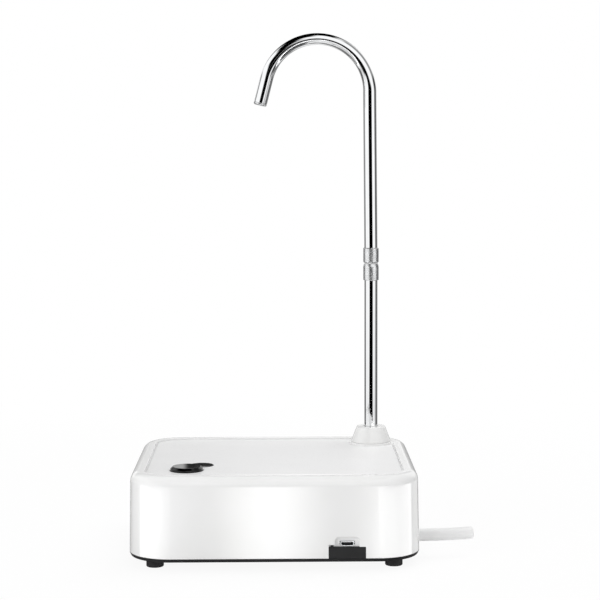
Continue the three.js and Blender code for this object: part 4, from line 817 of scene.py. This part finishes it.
# The gooseneck's line: a riser that leans a little, a round bend and a straight outlet
def neckLine(facts):
    lean, last, centreX, centreZ = bendPlace(facts)
    angle = np.linspace(lean, last, facts["bendSteps"] + 1)
    bendX = centreX + facts["bend"] * np.cos(angle)
    bendZ = centreZ + facts["bend"] * np.sin(angle)
    bottom = facts["seam"] + facts["seamGap"] / 2
    riser = np.linspace(0, 1, 9)[:-1]
    outlet = np.linspace(0, facts["outlet"], 4)[1:]
    x = np.concatenate([
        spoutPlace[0] + riser * (bendX[0] - spoutPlace[0]), bendX,
        bendX[-1] - outlet * math.sin(last),
    ])
    z = np.concatenate([
        bottom + riser * (bendZ[0] - bottom), bendZ, bendZ[-1] + outlet * math.cos(last),
    ])
    return np.column_stack([x, np.full(len(x), spoutPlace[1]), z])


# A tube bent this tightly loses some of its depth on the inner side, most of it at the crown:
# each point moves out from the bend's centre by a share that follows a sine along the bend
def flattened(grid, facts):
    lean, last, centreX, centreZ = bendPlace(facts)
    x, z = grid[..., 0] - centreX, grid[..., 2] - centreZ
    turn = (np.arctan2(z, x) - lean) / (last - lean)
    inBend = (turn > 0) & (turn < 1)
    lost = facts["flattening"] / (2 * facts["radius"]) * np.sin(math.pi * turn) * inBend
    reach = np.hypot(x, z)
    share = (reach + (facts["bend"] + facts["radius"] - reach) * lost) / reach
    flat = grid.copy()
    flat[..., 0], flat[..., 2] = centreX + x * share, centreZ + z * share
    return flat


def makeTubes(facts, low, line):
    sideways = np.array([0.0, 1, 0])
    size = pick(facts, "radius", "bore", "edge")
    heights = np.linspace(facts["bottom"], low, 6)
    upright = atHeight(np.tile(spoutPlace, (len(heights), 1)), heights)
    grid, uv = tube(upright, sideways, *size)
    lower = skin("lower_tube_polished", grid, True, uv)
    finishPiece(lower, "spout", "polished_steel", "lower_tube")
    grid, uv = tube(line, sideways, *size)
    neck = skin("gooseneck_polished", flattened(grid, facts), True, uv)
    finishPiece(neck, "spout", "polished_steel", "gooseneck")


def makeSleeves(facts, low, high):
    bore, outer = facts["radius"] + facts["sleeveFit"], facts["sleeve"]
    chamfer, tall = facts["chamfer"], facts["chamferHeight"]
    inset = outer - chamfer
    for name, bottom, top, lowChamfer, highChamfer in (
        ("lower_sleeve", low - facts["lowerSleeve"], low, chamfer / 2, tall),
        ("upper_sleeve", high, high + facts["upperSleeve"], chamfer, chamfer),
    ):
        profile = eased([
            (bore, bottom), (inset, bottom), (outer, bottom + lowChamfer),
            (outer, top - highChamfer), (inset, top), (bore, top),
        ], [0, facts["sleeveEdge"], *[facts["sleeveRound"]] * 2, facts["sleeveEdge"], 0], 4)
        sleeve = turned(name + "_turned", profile, spoutPlace)
        finishPiece(sleeve, "spout", "satin_steel", name)


# The seal that shows between the sleeves
def makeSeal(facts, low, high):
    bore, radius, edge = facts["sealBore"], facts["radius"], facts["sealEdge"]
    profile = eased([
        (bore, low + edge), (radius, low + edge), (radius, high - edge), (bore, high - edge),
    ], [0, edge, edge, 0], 3)
    seal = turned("coupling_seal_moulded", profile, spoutPlace, 64)
    finishPiece(seal, "spout", "silicone", "coupling_seal")


# The rounded nose pressed into the outlet, turned upright and then laid along the outlet
def makeTip(facts, line):
    radius, bore, neck, edge = pick(facts, "radius", "tipBore", "tipNeck", "tipEdge")
    back, top = -facts["tipReach"], facts["tip"]
    profile = eased([
        (bore, back), (neck, back), (neck, edge), (radius, edge), (radius, top), (bore, top),
    ], [0, 0, 0, edge, radius - facts["tipRim"], facts["tipMouth"]], 6)
    tip = turned("outlet_tip_polished", profile, (0, 0), 64)
    along, side = Vector(line[-1] - line[-2]).normalized(), Vector((0, 1, 0))
    place = Matrix((side.cross(along), side, along)).transposed().to_4x4()
    place.translation = Vector(line[-1]) * milli
    tip.data.transform(place)
    finishPiece(tip, "spout", "polished_steel", "outlet_tip", polishedTip)


def makeSpout(facts):
    low, high = facts["seam"] - facts["seamGap"] / 2, facts["seam"] + facts["seamGap"] / 2
    line = neckLine(facts)
    makeTubes(facts, low, line)
    makeSleeves(facts, low, high)
    makeSeal(facts, low, high)
    makeTip(facts, line)


makeSpout(spoutFacts)
print("spout made")


capFacts = {  # mm
    "radius": 9.2, "top": 53.9, "topRadius": 7.9, "bevel": 1.2, "bottom": 49.1,
    "bevelRound": 0.4, "topRound": 0.35,
    "face": 7.3, "faceRings": 7, "middle": 0.02,  # its flat, and the share left in the middle
}


# The cap's profile: up its side, over the bevel and in over the flat face
def makeCap(facts):
    bottom, top, radius = pick(facts, "bottom", "top", "radius")
    side = eased([
        (pole, bottom), (radius, bottom), (radius, top - facts["bevel"]),
        (facts["topRadius"], top), (pole, top),
    ], [0, 0, facts["bevelRound"], facts["topRound"], 0], 6)
    shares = np.linspace(1, facts["middle"], facts["faceRings"] + 1)[1:]
    profile = [*side[:-1], *((facts["face"] * share, top) for share in shares)]
    cap = turned("button_cap_moulded", profile, buttonPlace, closed=False)
    finishPiece(cap, "button", "black_gloss", "button_cap")


lensFacts = {"radius": 6.9, "bottom": 48.7, "top": 51.75, "edge": 0.2}  # mm


def makeLens(facts):
    radius, bottom, top = pick(facts, "radius", "bottom", "top")
    corners = [(pole, bottom), (radius, bottom), (radius, top), (pole, top)]
    profile = eased(corners, [0, 0, facts["edge"], 0])
    lens = turned("indicator_lens_moulded", profile, lensPlace, closed=False)
    finishPiece(lens, "base", "black_gloss", "indicator_lens")


# The hose's grommet: radii, and depths below the outer face
grommetFacts = {  # mm
    "bore": 3.55, "neck": 4.3, "flange": 4.9, "neckDepth": 2.6, "flangeDepth": 0.9,
    "faceDepth": 0.1, "edge": 0.25,
}


def makeGrommet(facts):
    bore, neck, flange, edge = pick(facts, "bore", "neck", "flange", "edge")
    depths = pick(facts, "neckDepth", "flangeDepth", "faceDepth")
    back, seat, face = (sideFace() - depth for depth in depths)
    profile = eased([
        (bore, back), (neck, back), (neck, seat), (flange, seat), (flange, face), (bore, face),
    ], [0, 0, 0, 0, edge, edge], 4)
    grommet = turned("hose_grommet_moulded", profile, (0, 0), 64)
    toSide(grommet)
    finishPiece(grommet, "base", "silicone", "hose_grommet")


makeCap(capFacts)
makeLens(lensFacts)
makeGrommet(grommetFacts)
print("button, lens and grommet made")


# What reflections see of the studio. Each card is a soft-edged patch that multiplies the level
# there. From the front it goes off at a turn (0 to the right, 90 upwards), and reaches from one
# angle to another along that way and across it
studio = {
    "level": 0.62, "seen": 1.1,
    "cards": (  # turn, (from, to, softness) along it and across it in degrees, level
        # The black band down the tubes and along the bend
        (180, (-30, 28, 4), (-17, 5, 4), 0.0),
        (207, (0, 52, 8), (-16, 7, 6), 0.02),
        (-90, (8, 32, 10), (-25, 12, 10), 0.3),
        (137, (6, 58, 6), (-9, 8, 6), 0.0),
        (121, (26, 100, 8), (-11, 10, 8), 0.0),
        (105, (52, 130, 8), (-14, 12, 8), 0.0),
        (90, (73, 162, 8), (-34, 21, 12), 0.0),
        # The greys at the sides of the tubes and on the inner side of the bend
        (0, (80, 134, 8), (-16, 16, 8), 0.13),
        (35, (72, 125, 12), (-28, 28, 12), 0.28),
        (180, (99, 138, 8), (-20, 20, 8), 0.3),
        (-47, (45, 112, 16), (-30, 30, 16), 0.07),
        (-90, (88, 114, 8), (-12, 12, 8), 0.05),
        (-135, (92, 138, 14), (-32, 32, 16), 0.22),
        (-135, (45, 92, 14), (-32, 32, 16), 0.75),
        # The upper part of the room
        (0, (-180, 180, 5), (20, 90, 5), 0.85),
        # Low down behind: the tray's left part, the outlines, and the cap's dark and light part
        (180, (168, 177.5, 7), (4, 20, 4), 0.42),
        (180, (130, 230, 20), (-10, 6.5, 4), 0.45),
        (180, (176.75, 177.8, 0.25), (10.1, 10.8, 0.2), 0.06),
        (180, (176.0, 176.85, 0.3), (10.25, 10.75, 0.15), 1.6),
        # The outline on the inner side of the bend
        (218, (122, 176, 10), (-14, 14, 10), 0.4),
        (-35, (106, 176, 10), (-14, 16, 10), 0.3),
        # The base's edges: right, left, the flat of the right rim, and the rear
        (180, (187, 194, 3), (-10, 8, 4), 1.6),
        (180, (166, 173, 3), (-10, 9, 4), 1.9),
        (180, (182.3, 194, 3), (8, 15, 5), 0.66),
        (180, (173.4, 185.5, 2), (-10, 6.5, 4), 0.6),
    ),
    "panes": (  # of the strip light: (from, to, softness) round the pump in degrees, level
        ((-88, -8.7, 4.6), 2.5),
        ((-88, -30, 26), 1.5),
        ((-3.7, 2.5, 5.3), 5.2),
        ((8.2, 100, 4.8), 5.0),
        ((100, 142, 8), 0.9),
    ),
    "stripRadius": 0.6, "stripFoot": -0.13, "stripTop": -0.036,  # m
    "stripSpan": 150, "stripSteps": 89,  # degrees to either side, and points round it
    "hoodRadius": 0.45, "hoodTop": -0.012, "hoodLevel": 0.93,
    "lamps": (  # name, place in m, size in m, watts
        ("front softbox", (-1.5, -1.4, 0.9), 1.2, 15),
        ("top softbox", (0.7, 0.5, 1.6), 1.2, 12),
    ),
    "aim": (0, 0, 0.05),  # m, where the lamps point
    "floorReach": 4, "paperShare": 0.08,  # m, and how much of the floor's shadow shows
    "paperNear": 0.3, "paperFar": 0.6,  # m, where the shadow fades out
}
white = (1, 1, 1, 1)


# One between two angles and none outside, with a soft edge. A strip may cross the point behind
# the pump, because the angle is wrapped
def strip(tree, value, low, high, soft):
    middle, reach = math.radians((low + high) / 2), high - low
    away = addNode(tree, "Math", (value, middle), operation="SUBTRACT")
    wrapped = addNode(tree, "Math", (away, math.pi, -math.pi), operation="WRAP")
    off = addNode(tree, "Math", (wrapped,), operation="ABSOLUTE")
    ends = math.radians((reach + soft) / 2), math.radians((reach - soft) / 2)
    return addNode(tree, "MapRange", (off, *ends), interpolation_type="SMOOTHSTEP")


# The card's mask: a strip along a great circle, cut to a length on it
def cardMask(tree, direction, card):
    turn = math.radians(card[0])
    axes = (
        (math.cos(turn), 0, math.sin(turn)), (0, -1, 0), (math.sin(turn), 0, -math.cos(turn)),
    )
    ahead, front, beside = (
        addNode(tree, "VectorMath", (direction, axis), "Value", operation="DOT_PRODUCT")
        for axis in axes
    )
    along = addNode(tree, "Math", (ahead, front), operation="ARCTAN2")
    across = addNode(tree, "Math", (beside,), operation="ARCSINE")
    strips = strip(tree, along, *card[1]), strip(tree, across, *card[2])
    return addNode(tree, "Math", strips, operation="MULTIPLY")


# Whether a ray comes from the camera, also through something clear, or is a reflection
def rayKinds(tree):
    camera, through, glossy = (
        addNode(tree, "LightPath", give=f"Is {kind} Ray")
        for kind in ("Camera", "Transmission", "Glossy")
    )
    return addNode(tree, "Math", (camera, through), operation="MAXIMUM"), glossy


# Reflections see the cards, the object is lit by a plain level, and the camera sees white
def makeWorld(light):
    world = bpy.data.worlds.new("studio")
    bpy.context.scene.world = world
    world.use_nodes = True
    tree = world.node_tree
    tree.nodes.clear()
    direction = addNode(tree, "TexCoord", give="Generated")
    level = light["seen"]
    for card in light["cards"]:
        kept = addNode(tree, "MapRange", {
            "Value": cardMask(tree, direction, card), "To Min": 1.0, "To Max": card[-1],
        })
        level = addNode(tree, "Math", (kept, level), operation="MULTIPLY")
    seen, plain, bright = (
        addNode(tree, "Background", (white, strength)) for strength in (level, light["level"], 1.0)
    )
    direct, glossy = rayKinds(tree)
    lit = addNode(tree, "MixShader", (glossy, plain, seen))
    addNode(tree, "OutputWorld", (addNode(tree, "MixShader", (direct, lit, bright)),))


def makeLamps(light):
    for name, place, size, watts in light["lamps"]:
        data = bpy.data.lights.new(name, "AREA")
        data.shape, data.size, data.energy = "DISK", size, watts
        lamp = newObject(name, data)
        lamp.location = place
        back = Vector(place) - Vector(light["aim"])
        lamp.rotation_euler = back.to_track_quat("Z", "Y").to_euler()
        lamp.visible_glossy = False


def bareMaterial(name):
    material, tree = newMaterial(name)[:2]
    tree.nodes.clear()
    return material, tree


# A curved strip light below the floor, on arcs round the pump, that only reflections see: its
# soft-edged panes stand as bright bands on the front wall, and a hood hides them from the spout
def makeStripLight(light):
    angles = np.radians(np.linspace(-light["stripSpan"], light["stripSpan"], light["stripSteps"]))
    count = len(angles)
    rows = (
        ("hoodRadius", "hoodTop"), ("stripRadius", "stripTop"), ("stripRadius", "stripFoot"),
    )
    circle = np.column_stack([np.sin(angles), -np.cos(angles)])
    grid = np.concatenate([
        atHeight(light[radius] * circle, light[height]) for radius, height in rows
    ])
    first = np.concatenate([np.arange(count - 1), np.arange(count - 1) + count])
    faces = np.column_stack([first, first + 1, first + 1 + count, first + count])
    pane = meshObject("strip light", grid.tolist(), faces.tolist())
    pane.visible_camera = pane.visible_diffuse = pane.visible_shadow = False
    pane.visible_transmission = False
    diffuser, tree = bareMaterial("light diffuser")
    place = addNode(tree, "TexCoord", give="Object")
    aside, front = (
        addNode(tree, "VectorMath", (place, axis), "Value", operation="DOT_PRODUCT")
        for axis in ((1, 0, 0), (0, -1, 0))
    )
    turn = addNode(tree, "Math", (aside, front), operation="ARCTAN2")
    level = 0.0
    for band, strength in light["panes"]:
        shown = strip(tree, turn, *band)
        level = addNode(tree, "Math", (shown, strength, level), operation="MULTIPLY_ADD")
    hood, hoodTree = bareMaterial("hood, white")
    for target, strength in ((tree, level), (hoodTree, light["hoodLevel"])):
        addNode(target, "OutputMaterial", (addNode(target, "Emission", (white, strength)),))
    pane.data.materials.append(diffuser)
    pane.data.materials.append(hood)
    pane.data.polygons.foreach_set("material_index", np.repeat([1, 0], count - 1))


# White seamless paper: it shows white, takes the shadow of the object faintly, and reflections
# see the studio through it
def makeFloor(light):
    far = light["floorReach"]
    corners = [(-far, -far, 0), (far, -far, 0), (far, far, 0), (-far, far, 0)]
    floor = meshObject("floor", corners, [(0, 1, 2, 3)])
    material, tree = bareMaterial("seamless paper")
    direct, glossy = rayKinds(tree)
    place = addNode(tree, "TexCoord", give="Object")
    away = addNode(tree, "VectorMath", (place,), "Value", operation="LENGTH")
    kept = addNode(tree, "MapRange", (
        away, light["paperNear"], light["paperFar"], 1 - light["paperShare"], 1.0,
    ), interpolation_type="SMOOTHSTEP")
    share = addNode(tree, "Math", (direct, kept), operation="MULTIPLY")
    paper = addNode(tree, "BsdfDiffuse", (linear("#F4F4F4"),))
    bright, clear = addNode(tree, "Emission", (white, 1.0)), addNode(tree, "BsdfTransparent")
    shown = addNode(tree, "MixShader", (share, paper, bright))
    addNode(tree, "OutputMaterial", (addNode(tree, "MixShader", (glossy, shown, clear)),))
    floor.data.materials.append(material)


makeWorld(studio)
makeLamps(studio)
makeStripLight(studio)
makeFloor(studio)
print("studio lit")
